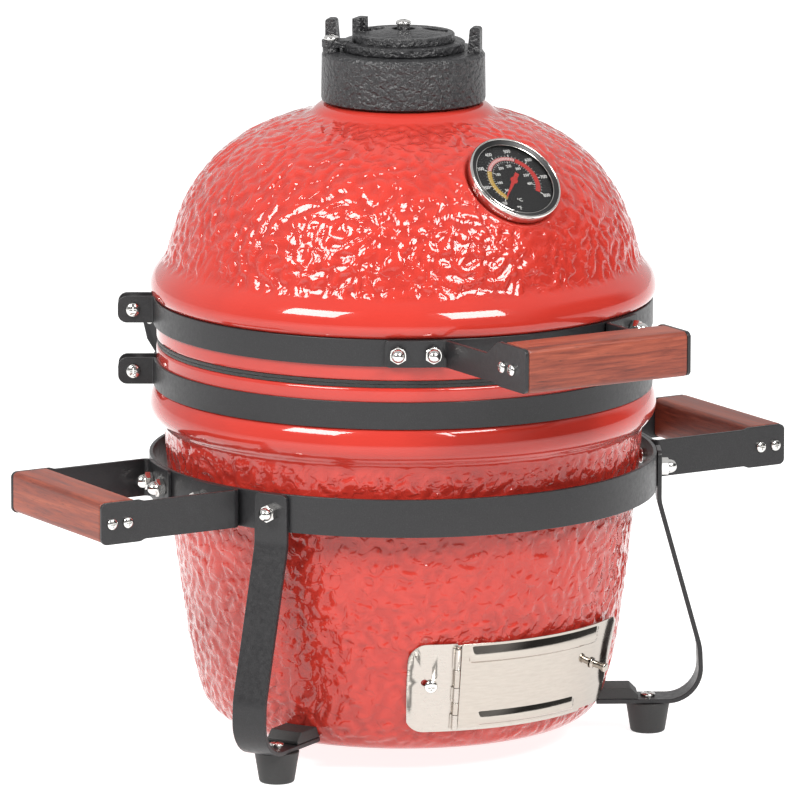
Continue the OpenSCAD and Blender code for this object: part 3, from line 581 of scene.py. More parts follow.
def between(p, lo, hi, step):
    """Resampled piece of a curve between two heights, with its ends exactly on them."""
    z = p[:, 1]
    q = p[(z > lo + 1e-6) & (z < hi - 1e-6)]
    up = z[-1] > z[0]
    o = np.argsort(z)
    e0 = (np.interp(lo, z[o], p[o, 0]), lo)
    e1 = (np.interp(hi, z[o], p[o, 0]), hi)
    return resample(np.vstack([e0, q, e1] if up else [e1, q, e0]), step)


low = dense[:int(np.argmax(dense[:, 1] > 20.5)) + 1]
outer = joinp([(5, 14.2)], resample([(5, 14.2), (104, 14.2)], 33), resample(low, 1.8), between(dense, low[-1][1], Z0, 1.6), between(dense, Z0, Z1, 1.6),
              between(dense, Z1, 209.5, 1.6), between(dense, 209.5, 234.4, 1.35), [(161, 234.9)], resample([(161, 234.9), (161, 258.9)], 8),
              [(161 - 2 * (1 - math.cos(rad(t))), 259.3 + 2 * math.sin(rad(t))) for t in (0, 30, 60, 90)])
di = cr(bowl_in, 10)
ro = between(dense, Z0, Z1, 1.6)
ri = between(di[di[:, 1] > 34.5], Z0, Z1, 1.6)
ri = ri[::-1] if ri[0][1] > ri[-1][1] else ri
zi = np.linspace(Z0, Z1, len(ro))
ri = np.c_[np.interp(zi, ri[:, 1], ri[:, 0]), zi]
lowin = di[di[:, 1] < Z0]
inner = joinp([(149, 261.3), (138, 261.3)], between(di, Z1, 261.3, 11), ri[::-1], np.vstack([ri[0], lowin]), resample([(92, 34), (5, 34)], 29))
bowl_prof = joinp(outer, inner)
NB = 536
base = np.linspace(0, 2 * np.pi, NB, endpoint=False)
thb = base.copy()
col = []
for f in (F0, F1):
    t = (rad(f) - math.pi / 2) % (2 * np.pi)
    j = int(np.argmin(np.abs(base - t)))
    thb[j] = t
    col.append(j)
P = lathe_pts(bowl_prof, thb)
pn = prof_normals(bowl_prof)
no = len(outer)
N3 = np.stack([pn[:, 0][:, None] * np.cos(thb)[None], pn[:, 0][:, None] * np.sin(thb)[None], np.repeat(pn[:, 1][:, None], NB, 1)], -1)
zz, rr_ = P[..., 2], np.hypot(P[..., 0], P[..., 1])
phi = (np.degrees(np.arctan2(P[..., 0], -P[..., 1])))
mask = smoothstep(zz, 16.5, 27) * (1 - smoothstep(zz, 202, 210.5))
mask[no:] = 0
# calm round the draft opening, under the door frame
near = np.maximum(np.maximum(F0 - 3 - phi, phi - (F1 + 3)) * 2.42, np.maximum(Z0 - 2 - zz, zz - (Z1 + 2)))
mask = mask * smoothstep(near, 0, 5)
flat = P[:no].reshape(-1, 3)
rel = np.zeros(P.shape[:2])
rel[:no] = relief(flat + 500).reshape(no, NB)
rel = rel * mask
slow = np.zeros(P.shape[:2])
slow[:no] = waves(flat, 95, 0.4, 16, 22).reshape(no, NB) * smoothstep(zz[:no], 20, 40) * (1 - smoothstep(zz[:no], 195, 240))
A_BOWL = 0.62
P = P + N3 * ((A_BOWL * rel + 0.10 * slow - 0.10 * mask)[..., None])
i0 = int(np.argmin(np.abs(outer[:, 1] - Z0) + 1e3 * (outer[:, 0] < 120)))
i1 = i0 + len(ro) - 1
k_hi = int(np.argmin(np.abs(bowl_prof[no:, 1] - Z1) + 1e3 * (bowl_prof[no:, 0] < 100))) + no
k_lo = k_hi + len(ro) - 1
c0, c1 = col


def in_hole(rr, cc):
    inside_c = (cc >= c0) & (cc < c1)
    return inside_c & (((rr >= i0) & (rr < i1)) | ((rr >= k_hi) & (rr < k_lo)))


q = grid_faces(len(bowl_prof), NB, skip=in_hole)
ext = []
for c in range(c0, c1):
    ext.append([i0 * NB + c, i0 * NB + c + 1, k_lo * NB + c + 1, k_lo * NB + c])          # sill
    ext.append([i1 * NB + c + 1, i1 * NB + c, k_hi * NB + c, k_hi * NB + c + 1])          # head
for k in range(len(ro) - 1):
    a0, a1, b0, b1 = i0 + k, i0 + k + 1, k_lo - k, k_lo - k - 1
    ext.append([a0 * NB + c0, b0 * NB + c0, b1 * NB + c0, a1 * NB + c0])
    ext.append([a1 * NB + c1, b1 * NB + c1, b0 * NB + c1, a0 * NB + c1])
last = (len(bowl_prof) - 1) * NB
caps = [list(range(NB - 1, -1, -1)), list(range(last, last + NB))]
me = mesh_quads("bowl_glazed", P.reshape(-1, 3) * MM, (np.vstack([q, np.array(ext)]), caps))
# columns of the opening are inside the grid, so nothing is left loose
bm = bmesh.new()
bm.from_mesh(me)
bmesh.ops.delete(bm, geom=[v for v in bm.verts if not v.link_faces], context="VERTS")
bmesh.ops.recalc_face_normals(bm, faces=bm.faces)
bm.to_mesh(me)
bm.free()
co = np.empty(len(me.vertices) * 3)
me.vertices.foreach_get("co", co)
co = co.reshape(-1, 3) * 1000
used = np.ones(len(rel.ravel()), bool)
hole = np.zeros(rel.shape, bool)
hole[i0 + 1:i1, c0 + 1:c1] = True
hole[k_hi + 1:k_lo, c0 + 1:c1] = True
vals = rel.ravel()[~hole.ravel()]
a = me.attributes.new("relief", "FLOAT", "POINT")
a2 = me.attributes.new("worked", "FLOAT", "POINT")
if len(vals) == len(me.vertices):
    me.attributes["relief"].data.foreach_set("value", vals.astype(np.float32))
    me.attributes["worked"].data.foreach_set("value", mask.ravel()[~hole.ravel()].astype(np.float32))
bowl = link("bowl_glazed", me, "glaze", "base", ("bowl",), 42)
me.materials.append(M["refractory"])
pc = np.empty(len(me.polygons) * 3)
me.polygons.foreach_get("center", pc)
pc = pc.reshape(-1, 3) * 1000
pr = np.hypot(pc[:, 0], pc[:, 1])
skin = np.interp(pc[:, 2], [14, 20, 40, 90, 145, 198, 210, 218, 222, 234.4, 262], [100, 119, 130, 139.5, 146, 151, 153, 158, 158, 156, 156])
me.polygons.foreach_set("material_index", ((pr < skin) & (pc[:, 2] > 14.4)).astype(np.int32))

# ------------------------------------------------------------------ felt gaskets


def felt(name, z0, z1, body, node, seed):
    e = 0.5
    prof = []
    for cx, cz, a0 in ((160.5 - e, z0 + e, -90), (160.5 - e, z1 - e, 0), (138 + e, z1 - e, 90), (138 + e, z0 + e, 180)):
        for k in range(4):
            t = rad(a0 + 30 * k)
            prof.append((cx + e * math.cos(t), cz + e * math.sin(t)))
    n = 720
    th = np.linspace(0, 2 * np.pi, n, endpoint=False)
    P = lathe_pts(prof, th)
    f = waves(P.reshape(-1, 3), 3.1, 0.4, 40, seed).reshape(P.shape[:2])
    pn = prof_normals(prof, True)
    N = np.stack([pn[:, 0][:, None] * np.cos(th), pn[:, 0][:, None] * np.sin(th), np.repeat(pn[:, 1][:, None], n, 1)], -1)
    P = P + N * (np.clip(0.10 * f - 0.12, -0.35, 0)[..., None])
    me = mesh_quads(name, P.reshape(-1, 3) * MM, (grid_faces(len(prof), n, wrap_r=True), []))
    return link(name, me, "felt", body, (node,), 60)


felt("felt_upper", 263.55, 265.7, "lid", "upper_gasket", 31)
felt("felt_lower", 261.3, 263.45, "base", "lower_gasket", 32)

# ------------------------------------------------------------------ bent straps


def bend(p, r, n=7):
    p = [np.asarray(q, float) for q in p]
    out = [p[0]]
    for i in range(1, len(p) - 1):
        if r[i] <= 0:
            out.append(p[i])
            continue
        u = (p[i - 1] - p[i]) / np.linalg.norm(p[i - 1] - p[i])
        v = (p[i + 1] - p[i]) / np.linalg.norm(p[i + 1] - p[i])
        h = math.acos(max(-1, min(1, float(u @ v)))) / 2
        d = r[i] / math.tan(h)
        m = (u + v) / np.linalg.norm(u + v)
        c = p[i] + m * r[i] / math.sin(h)
        s, e = p[i] + u * d, p[i] + v * d
        for j in range(n + 1):
            w = s * (1 - j / n) + e * (j / n) - c
            out.append(c + w / np.linalg.norm(w) * r[i])
    out.append(p[-1])
    return np.array(out)


def densify(p, step, keep=None):
    """Adds points on straight runs, so that widths can change along them."""
    out = [p[0]]
    for a, b in zip(p[:-1], p[1:]):
        n = max(1, int(math.ceil(np.linalg.norm(b - a) / step)))
        for j in range(1, n + 1):
            out.append(a + (b - a) * j / n)
    return np.array(out)


def ribbon(name, path, lo, hi, t, to3, mat="powder", e=0.45, body="base", replaces=(), closed=False, ends=(True, True)):
    """A strap: 2D path, lo(s) and hi(s) its edges across the plane, thickness t, every edge rounded by e. to3(xy, w) gives 3D points in mm."""
    p = np.asarray(path, float)
    if closed:
        d = np.roll(p, -1, 0) - np.roll(p, 1, 0)
    else:
        seg = np.diff(p, axis=0)
        u = seg / np.linalg.norm(seg, axis=1)[:, None]
        d = np.vstack([u[:1], u[:-1] + u[1:], u[-1:]])
    d /= np.linalg.norm(d, axis=1)[:, None]
    nrm = np.c_[-d[:, 1], d[:, 0]]
    if not closed:
        k = np.ones(len(p))
        k[1:-1] = 1 / np.maximum((nrm[1:-1] * np.c_[-u[:-1, 1], u[:-1, 0]]).sum(1), 0.5)
    else:
        k = np.ones(len(p))
    s = np.r_[0, np.cumsum(np.linalg.norm(np.diff(p, axis=0), axis=1))]
    Ls = s[-1]
    st = [(p[i], nrm[i] * k[i], s[i], 0.0) for i in range(len(p))]
    if not closed:  # rounded ends: stations drawn in by a quarter circle
        qn = 4
        if ends[0]:
            head = [(p[0] + d[0] * e * (1 - math.cos(rad(90 * j / qn))), nrm[0], e * (1 - math.cos(rad(90 * j / qn))), e * (1 - math.sin(rad(90 * j / qn)))) for j in range(qn + 1)]
            st = head + [x for x in st if x[2] > e * 1.05]
        if ends[1]:
            tail = [(p[-1] - d[-1] * e * (1 - math.cos(rad(90 * j / qn))), nrm[-1], Ls - e * (1 - math.cos(rad(90 * j / qn))), e * (1 - math.sin(rad(90 * j / qn)))) for j in range(qn, -1, -1)]
            st = [x for x in st if x[2] < Ls - e * 1.05] + tail
    V = []
    K = None
    for c, n, ss, inset in st:
        a, b = lo(ss, Ls), hi(ss, Ls)
        h = t / 2 - inset
        a, b = a + inset, b - inset
        ee = max(e - inset, 0.02)
        ring = []
        for (sx, sy, a0) in ((1, -1, -90), (1, 1, 0), (-1, 1, 90), (-1, -1, 180)):
            for j in range(4):
                ang = rad(a0 + 30 * j)
                x = sx * (h - ee) + ee * math.cos(ang)
                w = (a + ee if sy < 0 else b - ee) + ee * math.sin(ang)
                ring.append(to3(c + n * x, w))
        K = len(ring)
        V.extend(ring)
    R = len(st)
    q = grid_faces(R, K, wrap_r=closed)
    caps = [] if closed else [list(range(K - 1, -1, -1)), list(range((R - 1) * K, R * K))]
    me = mesh_quads(name, np.array(V) * MM, (q, caps))
    bm = bmesh.new()
    bm.from_mesh(me)
    bmesh.ops.recalc_face_normals(bm, faces=bm.faces)
    bm.to_mesh(me)
    bm.free()
    return link(name, me, mat, body, replaces, 50, True)


def flat3(xy, w):
    return (xy[0], xy[1], w)


def tip(r, s_end):
    """How much a corner of radius r draws the edge in at distance s_end from the end."""
    return r - math.sqrt(max(r * r - (r - min(s_end, r)) ** 2, 0))


def polar(r, f):
    return np.array([r * math.sin(rad(f)), -r * math.cos(rad(f))])


def local(f, x, y):
    """Point at radius x and y along the ring, at the clamp of angle f."""
    f = rad(f)
    return np.array([x * math.sin(f) + y * math.cos(f), -x * math.cos(f) + y * math.sin(f)])


def band_path(side_front=True):
    y = 7.0 if side_front else -7.0
    g = math.degrees(math.asin(7 / 162))
    if side_front:
        a = np.linspace(-120.5 + g, 120.5 - g, 121)
        p = [local(-120.5, 186, 7)] + [polar(162, f) for f in a] + [local(120.5, 186, -7)]
    else:
        a = np.linspace(120.5 + g, 360 - 120.5 - g, 61)
        p = [local(120.5, 186, 7)] + [polar(162, f) for f in a] + [local(-120.5, 186, -7)]
    r = [0] * len(p)
    r[1] = r[-2] = 2.2
    return lug_dense(bend(p, r, 6))


def lug_dense(p):
    a = densify(p[:2], 0.8)
    b = densify(p[-2:], 0.8)
    return np.vstack([a[:-1], p[1:-1], b[1:]])


for part, z0, body in (("upper", 275.4, "lid"), ("lower", 234.8, "base")):
    ribbon(part + "_front_strap", band_path(), lambda s, Ls, z=z0: z + tip(6, min(s, Ls - s)), lambda s, Ls, z=z0: z + 17.5 - tip(6, min(s, Ls - s)),
           2.0, flat3, body=body, replaces=(part + "_front_band",))

th = np.linspace(0, 2 * np.pi, 360, endpoint=False)
ribbon("stand_ring_strap", np.c_[np.cos(th), np.sin(th)] * 164.75, lambda s, Ls: 165.2, lambda s, Ls: 189.8, 2.5, flat3, replaces=("stand_ring",), closed=True)

leg_raw = bend([(167.6, 189.8), (167.6, 156), (195, 58), (196.5, 22), (127, 22)], [0, 25, 40, 22, 0], 12)
leg_p = np.vstack([densify(leg_raw[:2], 1.0)[:-1], leg_raw[1:-1], densify(leg_raw[-2:], 4.0)[1:]])
for nm, f in (("leg_left", -61), ("leg_right", 61), ("leg_rear", 180)):
    fr = rad(f)
    ex, ey = np.array([math.sin(fr), -math.cos(fr), 0]), np.array([math.cos(fr), math.sin(fr), 0])
    ribbon(nm + "_strap", leg_p, lambda s, Ls: -12 + tip(4, s), lambda s, Ls: 12 - tip(4, s), 3.0,
           lambda xy, w, ex=ex, ey=ey: tuple(ex * xy[0] + ey * w + np.array([0, 0, xy[1]])), replaces=(nm,))

# side handle arms
R = 167.4
ae = math.degrees(math.asin(59.25 / R))
arm = [np.array([R * math.cos(rad(a)), R * math.sin(rad(a))]) for a in np.arange(5, ae - 3 + 1e-9, 1.6)]
n_arc = len(arm)
arm += [np.array([R * math.cos(rad(ae)), 59.25]), np.array([259, 59.25])]
arm_raw = bend(arm, [0] * n_arc + [4, 0], 7)
arm_p = np.vstack([densify(arm_raw[:3], 0.8), arm_raw[3:-1], densify(arm_raw[-2:], 1.0)[1:]])


def arm_edge(s, Ls, lohi):
    x_end = Ls - s                       # distance from the far end
    k = float(smoothstep(np.array(x_end), 27.5, 32.5))
    lo_, hi_ = 163.8 + (165.2 - 163.8) * k, 191 + (189.8 - 191) * k
    c = tip(4, x_end) + tip(3, s)
    return lo_ + c if lohi < 0 else hi_ - c


for sx, side in ((-1, "left"), (1, "right")):
    for sy, fr in ((-1, "front"), (1, "rear")):
        ribbon(f"{side}_{fr}_arm_strap", arm_p, lambda s, Ls: arm_edge(s, Ls, -1), lambda s, Ls: arm_edge(s, Ls, 1), 2.5,
               lambda xy, w, sx=sx, sy=sy: (sx * xy[0], sy * xy[1], w), replaces=(f"{side}_handle_{fr}_arm",))

# lid handle brackets
Rb = 164.45
b0 = math.degrees(math.asin((61.4 - 1.25) / Rb))
br = [polar(Rb, a) for a in np.arange(35, 24.4, -1.5)] + [polar(Rb, b0), np.array([60.15, -251.3])]
br_raw = bend(br, [0] * (len(br) - 2) + [5, 0], 7)
br_p = np.vstack([densify(br_raw[:3], 0.8), br_raw[3:-1], densify(br_raw[-2:], 1.0)[1:]])


def br_edge(s, Ls, lohi):
    x_end = Ls - s
    d = 98 - x_end                       # same measure as in the side view of the arm
    lo_ = 275.4 - 1.6 * float(smoothstep(np.array(d), 58, 68))
    hi_ = 292.9 + 9.5 * float(smoothstep(np.array(d), 49, 67))
    c = tip(4, x_end) + tip(3, s)
    return lo_ + c if lohi < 0 else hi_ - c


for sx, side in ((-1, "left"), (1, "right")):
    ribbon(f"lid_bracket_{side}_strap", br_p, lambda s, Ls: br_edge(s, Ls, -1), lambda s, Ls: br_edge(s, Ls, 1), 2.5,
           lambda xy, w, sx=sx: (sx * xy[0], xy[1], w), body="lid", replaces=(f"lid_handle_bracket_{side}",))

# ------------------------------------------------------------------ wooden bars


def wood_bar(name, c0, c1, h0, h1, half, axis, body, node, seed):
    """Bar along axis ('x' or 'y'), c0..c1 its depth, h0..h1 its height."""
    r, e, n_len = 3.6, 1.0, 46
    st = [(-half + e * (1 - math.cos(rad(a))), e * (1 - math.sin(rad(a)))) for a in (0, 22, 45, 67, 90)]
    st += [(x, 0.0) for x in np.linspace(-half + 2.5, half - 2.5, n_len)]
    st += [(half - e * (1 - math.cos(rad(a))), e * (1 - math.sin(rad(a)))) for a in (90, 67, 45, 22, 0)]
    V, G = [], []
    for pos, inset in st:
        lo_c, hi_c, lo_h, hi_h = c0 + inset, c1 - inset, h0 + inset, h1 - inset
        for (cx, ch, a0) in ((hi_c - r, lo_h + r, -90), (hi_c - r, hi_h - r, 0), (lo_c + r, hi_h - r, 90), (lo_c + r, lo_h + r, 180)):
            for j in range(7):
                t = rad(a0 + 15 * j)
                x, z = cx + r * math.cos(t), ch + r * math.sin(t)
                G.append((pos, x, z))
                V.append((pos, x, z) if axis == "x" else (x, pos, z))
    V, G = np.array(V), np.array(G)
    K = 28
    R_ = len(st)
    q = grid_faces(R_, K)
    me = mesh_quads(name, V * MM, (q, [list(range(K - 1, -1, -1)), list(range((R_ - 1) * K, R_ * K))]))
    a = me.attributes.new("grain_uvw", "FLOAT_VECTOR", "POINT")
    a.data.foreach_set("vector", ((G + np.array([seed * 31.0, seed * 17.0, seed * 7.0])) * MM).ravel().astype(np.float32))
    bm = bmesh.new()
    bm.from_mesh(me)
    bmesh.ops.recalc_face_normals(bm, faces=bm.faces)
    bm.to_mesh(me)
    bm.free()
    return link(name, me, "wood", body, (node,), 60)


wood_bar("lid_bar_wood", -251.3, -221.3, 273.7, 302.6, 58.8, "x", "lid", "lid_handle_bar", 1)
wood_bar("left_bar_wood", -258.9, -232, 164.6, 191.2, 57.9, "y", "base", "left_handle_bar", 2)
wood_bar("right_bar_wood", 232, 258.9, 164.6, 191.2, 57.9, "y", "base", "right_handle_bar", 3)

# ------------------------------------------------------------------ thermometer


def t_pt(x, y, z):
    return (T_O + T_X * x + T_Y * y + T_Z * z)


def t_lathe(name, prof, mat, node, n=144, closed=True, body="lid", smooth=40):
    th = np.linspace(0, 2 * np.pi, n, endpoint=False)
    prof = np.asarray(prof, float)
    V = np.array([[t_pt(r * math.cos(a), r * math.sin(a), z) for a in th] for r, z in prof])
    me = mesh_quads(name, V.reshape(-1, 3) * MM, (grid_faces(len(prof), n, wrap_r=closed), [] if closed else [list(range(n - 1, -1, -1)), list(range((len(prof) - 1) * n, len(prof) * n))]))
    bm = bmesh.new()
    bm.from_mesh(me)
    bmesh.ops.recalc_face_normals(bm, faces=bm.faces)
    bm.to_mesh(me)
    bm.free()
    return link(name, me, mat, body, (node,) if node else (), smooth)


bz = cr([(31.3, -1.2), (31.85, -1.15), (31.98, -0.4), (31.97, 1.0), (31.8, 1.8), (31.45, 2.4), (31.0, 2.7), (30.6, 2.6), (30.35, 2.2), (30.3, 1.6), (30.3, 0.75)], 4)
t_lathe("thermometer_rim", np.vstack([bz, [(31.3, 0.7)]]), "bezel", "thermometer_bezel")
t_lathe("thermometer_pan", [(3.0, -6.4), (28, -6.4), (29.8, -5.9), (31.0, -5.0), (31.2, -4.2), (31.2, 0.6), (29.6, 0.6), (29.6, -1.4), (3.0, -1.4)], "bezel", "thermometer_case")
t_lathe("thermometer_face", [(1.2, -1.3), (29.3, -1.3), (29.4, -1.2), (29.4, -0.8), (29.3, -0.7), (1.2, -0.7)], "dial", "thermometer_dial")
t_lathe("thermometer_window", [(0.6, -0.1), (29.1, -0.1), (29.3, 0.05), (29.3, 0.5), (29.1, 0.65), (0.6, 0.65)], "glass", "thermometer_glass", closed=False)
t_lathe("thermometer_seal", [(30.28, 0.72), (30.28, 1.9), (29.9, 2.0), (28.6, 1.35), (27.6, 1.0), (27.5, 0.72)], "dial", None)
ti = [(27.3 + 0.28 * math.cos(rad(a)), 0.98 + 0.28 * math.sin(rad(a))) for a in range(0, 360, 45)]
t_lathe("thermometer_trim_line", ti, "bezel", None)


def dial_piece(name, V, F, mat, slot="dial_black"):
    me = bpy.data.meshes.new(name)
    me.from_pydata([tuple(np.array(t_pt(*v)) * MM) for v in V], [], F)
    bm = bmesh.new()
    bm.from_mesh(me)
    bmesh.ops.recalc_face_normals(bm, faces=bm.faces)
    bm.to_mesh(me)
    bm.free()
    return link(name, me, mat, "lid", (), 0)


def arc_plate(r0, r1, a0, a1, z0, z1, n):
    V, F = [], []
    for i in range(n + 1):
        a = rad(a0 + (a1 - a0) * i / n)
        for r, z in ((r0, z0), (r1, z0), (r1, z1), (r0, z1)):
            V.append((r * math.cos(a), r * math.sin(a), z))
    for i in range(n):
        for k in range(4):
            F.append((4 * i + k, 4 * i + (k + 1) % 4, 4 * i + 4 + (k + 1) % 4, 4 * i + 4 + k))
    F.append((3, 2, 1, 0))
    F.append((4 * n, 4 * n + 1, 4 * n + 2, 4 * n + 3))
    return V, F


def merge(parts):
    V, F = [], []
    for v, f in parts:
        b = len(V)
        V += v
        F += [tuple(i + b for i in q) for q in f]
    return V, F


def f_ang(F_):
    return 225 - (F_ - 100) * 262.5 / 700


zt0, zt1 = -0.72, -0.64
dial_piece("dial_arc_yellow", *arc_plate(15.6, 18.7, 228, 148, zt0, zt1, 40), "yellow")
dial_piece("dial_arc_pink", *arc_plate(15.9, 18.7, 146.5, 62, zt0, zt1, 40), "pink")
dial_piece("dial_arc_red", *arc_plate(15.4, 18.7, 60.5, -37.5, zt0, zt1, 50), "red")
ticks = []
for F_ in range(100, 801, 20):
    major = F_ % 100 == 0
    ticks.append(arc_plate(19.0, 20.8 if major else 19.9, f_ang(F_) + (0.9 if major else 0.45), f_ang(F_) - (0.9 if major else 0.45), zt0, zt1, 1))
for C_ in range(40, 421, 10):
    major = C_ % 50 == 0
    ticks.append(arc_plate(13.6 if major else 14.3, 15.2, f_ang(C_ * 1.8 + 32) + (0.9 if major else 0.5), f_ang(C_ * 1.8 + 32) - (0.9 if major else 0.5), zt0, zt1, 1))
for k in range(0, 22):
    ticks.append(arc_plate(16.5, 18.1, 146 - 3.9 * k, 144.6 - 3.9 * k, zt0, zt1 + 0.02, 1))
for k in range(0, 12):
    ticks.append(arc_plate(17.7, 18.5, 222 - 6.6 * k, 220.6 - 6.6 * k, zt0, zt1 + 0.02, 1))
dial_piece("dial_ticks", *merge(ticks), "white")


def text_piece(name, items, mat="white"):
    parts = []
    for body_, x, y, size in items:
        cu = bpy.data.curves.new(name + "_t", "FONT")
        cu.body = body_
        cu.size = size
        cu.align_x = "CENTER"
        cu.align_y = "CENTER"
        cu.extrude = 0.04
        cu.resolution_u = 3
        cu.offset = 0.055
        ob = bpy.data.objects.new(name + "_t", cu)
        bpy.context.scene.collection.objects.link(ob)
        dg = bpy.context.evaluated_depsgraph_get()
        tm = bpy.data.meshes.new_from_object(ob.evaluated_get(dg))
        parts.append(([(x + v.co.x, y + v.co.y, -0.68 + v.co.z) for v in tm.vertices], [tuple(p.vertices) for p in tm.polygons]))
        bpy.data.objects.remove(ob)
        bpy.data.curves.remove(cu)
        bpy.data.meshes.remove(tm)
    V, F = merge(parts)
    me = bpy.data.meshes.new(name)
    me.from_pydata([tuple(np.array(t_pt(*v)) * MM) for v in V], [], F)
    bm = bmesh.new()
    bm.from_mesh(me)
    bmesh.ops.remove_doubles(bm, verts=bm.verts, dist=1e-7)
    bmesh.ops.recalc_face_normals(bm, faces=bm.faces)
    bm.to_mesh(me)
    bm.free()
    return link(name, me, mat, "lid", (), 0)


items = []
for F_ in range(100, 801, 100):
    a = rad(f_ang(F_))
    items.append((str(F_), 23.6 * math.cos(a), 23.4 * math.sin(a), 3.5))
for C_ in range(50, 401, 50):
    a = rad(f_ang(C_ * 1.8 + 32))
    items.append((str(C_), 11.4 * math.cos(a), 11.4 * math.sin(a), 2.7))
text_piece("dial_numbers", items)
text_piece("dial_units", [("°F", -6.4, -21.4, 3.9), ("°C", -3.2, -15.4, 3.6)])

# ------------------------------------------------------------------ draft door


def cone_pt(f, z, d):
    """Point on the bent sheet's cone at angle f, height z and d mm off it."""
    r = 133.4 + 0.2033 * (z - 31) + d
    return (r * math.sin(rad(f)), -r * math.cos(rad(f)), z)


def sheet_patch(name, rows, fl, fr, d0, d1, body, mat, e=0.35, nu=64, lift=None, replaces=(), holes=None):
    """Closed sheet bent to the cone: rows of height z, fl(z)..fr(z) its edges in degrees, from offset d0 to d1, rim rounded by e."""
    V = []
    R_ = len(rows)
    prof = [(0.0, d1 - 0.0)]
    for side in (1, 0):
        for i, z in enumerate(rows):
            a, b = fl(z), fr(z)
            for j in range(nu + 1):
                u = j / nu
                f = a + (b - a) * u
                dist = min((f - a) * 2.42, (b - f) * 2.42, z - rows[0], rows[-1] - z)
                k = 0.0 if dist >= e else e - math.sqrt(max(e * e - (e - dist) ** 2, 0))
                k = min(k, (d1 - d0) / 2 - 0.02)
                h = lift(f, z) if lift else 0.0
                d = (d1 - k + h) if side else (d0 + k + h)
                V.append(cone_pt(f, z, d))
    C = nu + 1
    nF = R_ * C
    F = []
    for i in range(R_ - 1):
        for j in range(nu):
            F.append((i * C + j, i * C + j + 1, (i + 1) * C + j + 1, (i + 1) * C + j))
            F.append((nF + (i + 1) * C + j, nF + (i + 1) * C + j + 1, nF + i * C + j + 1, nF + i * C + j))
    for i in range(R_ - 1):
        for j, flip in ((0, False), (nu, True)):
            q = (i * C + j, (i + 1) * C + j, nF + (i + 1) * C + j, nF + i * C + j)
            F.append(q if not flip else q[::-1])
    for j in range(nu):
        for i, flip in ((0, True), (R_ - 1, False)):
            q = (i * C + j, i * C + j + 1, nF + i * C + j + 1, nF + i * C + j)
            F.append(q if not flip else q[::-1])
    me = mesh_quads(name, np.array(V) * MM, (np.array(F), []))
    bm = bmesh.new()
    bm.from_mesh(me)
    bmesh.ops.remove_doubles(bm, verts=bm.verts, dist=1e-7)
    bmesh.ops.recalc_face_normals(bm, faces=bm.faces)
    bm.to_mesh(me)
    bm.free()
    return link(name, me, mat, body, replaces, 40, True)


# everything else of CAD origin is finished by welding, merging flats and rounding its edges
for n_ in ("upper_rear_band", "lower_rear_band"):
    finish_node(n_, "powder", width=0.4)
for n_ in ("upper_clamp_screws", "upper_clamp_nuts", "lid_handle_studs", "lid_handle_nuts", "lid_handle_screws", "lower_clamp_screws", "lower_clamp_nuts",
           "hinge_pins", "hinge_pin_nuts", "foot_screws", "leg_bolts", "leg_nuts", "side_handle_screws", "side_handle_bolts", "side_handle_nuts",
           "damper_pivot_screw", "damper_wheel_screw", "draft_frame_screws", "thermometer_stem", "thermometer_nut"):
    finish_node(n_, "chrome", width=0.18)
finish_node("draft_frame", "brushed", width=0.25)
for n_ in ("draft_door_knob", "draft_hinge_pin"):
    finish_node(n_, "door", width=0.25)


def rail_lift(f, z):
    """Two louvres pressed into the sheet: each swells out towards its lower edge and turns back there."""
    h = 0.0
    if 77.9 < z < 89.6:
        side = float(smoothstep(np.array(f), -14.0, -13.2) * (1 - smoothstep(np.array(f), 25.6 + (z - 79) * 0.12, 26.6 + (z - 79) * 0.12)))
        h += side * 3.0 * (math.sin(math.pi / 2 * max(0.0, min(1.0, (89.4 - z) / 9.6))) if z > 79.8 else max(0.0, math.sin(math.pi / 2 * (z - 78.0) / 1.8)))
    if 34.6 < z < 44.4:
        side = float(smoothstep(np.array(f), -11.5, -10) * (1 - smoothstep(np.array(f), 20.6, 21.8)))
        h += side * 2.3 * (math.sin(math.pi / 2 * max(0.0, min(1.0, (44.2 - z) / 7.4))) if z > 36.8 else max(0.0, math.sin(math.pi / 2 * (z - 34.8) / 2.0)))
    return h


def door_right(z):
    d0, d1 = z - 33.5, 91 - z
    c = (tip(9, d0) if d0 < 9 else 0) + (tip(9, d1) if d1 < 9 else 0)
    return 38.5 - c / 2.42


dz = [33.5, 33.52, 33.56, 33.65, 33.8] + list(np.arange(34.1, 90.6, 0.42)) + [90.7, 90.85, 90.94, 90.98, 91.0]
sheet_patch("draft_door_sheet", dz, lambda z: -16.05, door_right, 2.6, 3.6, "draft_leaf", "door", e=0.3, nu=110, lift=rail_lift, replaces=("draft_door",))


def rod(name, p0, p1, r, mat, body, e=0.3, n=28):
    p0, p1 = np.array(p0, float), np.array(p1, float)
    ax = p1 - p0
    Lr = np.linalg.norm(ax)
    ax = ax / Lr
    u = np.cross(ax, [0.3, 0.5, 0.81])
    u /= np.linalg.norm(u)
    v_ = np.cross(ax, u)
    st = [(e * (1 - math.cos(rad(t))), r - e * (1 - math.sin(rad(t)))) for t in (0, 30, 60, 90)]
    st += [(Lr - x, y) for x, y in st[::-1]]
    V = [p0 + ax * x + (u * math.cos(t) + v_ * math.sin(t)) * y for x, y in st for t in np.linspace(0, 2 * np.pi, n, endpoint=False)]
    R_ = len(st)
    me = mesh_quads(name, np.array(V) * MM, (grid_faces(R_, n), [list(range(n - 1, -1, -1)), list(range((R_ - 1) * n, R_ * n))]))
    bm = bmesh.new()
    bm.from_mesh(me)
    bmesh.ops.recalc_face_normals(bm, faces=bm.faces)
    bm.to_mesh(me)
    bm.free()
    return link(name, me, mat, body, (), 50)


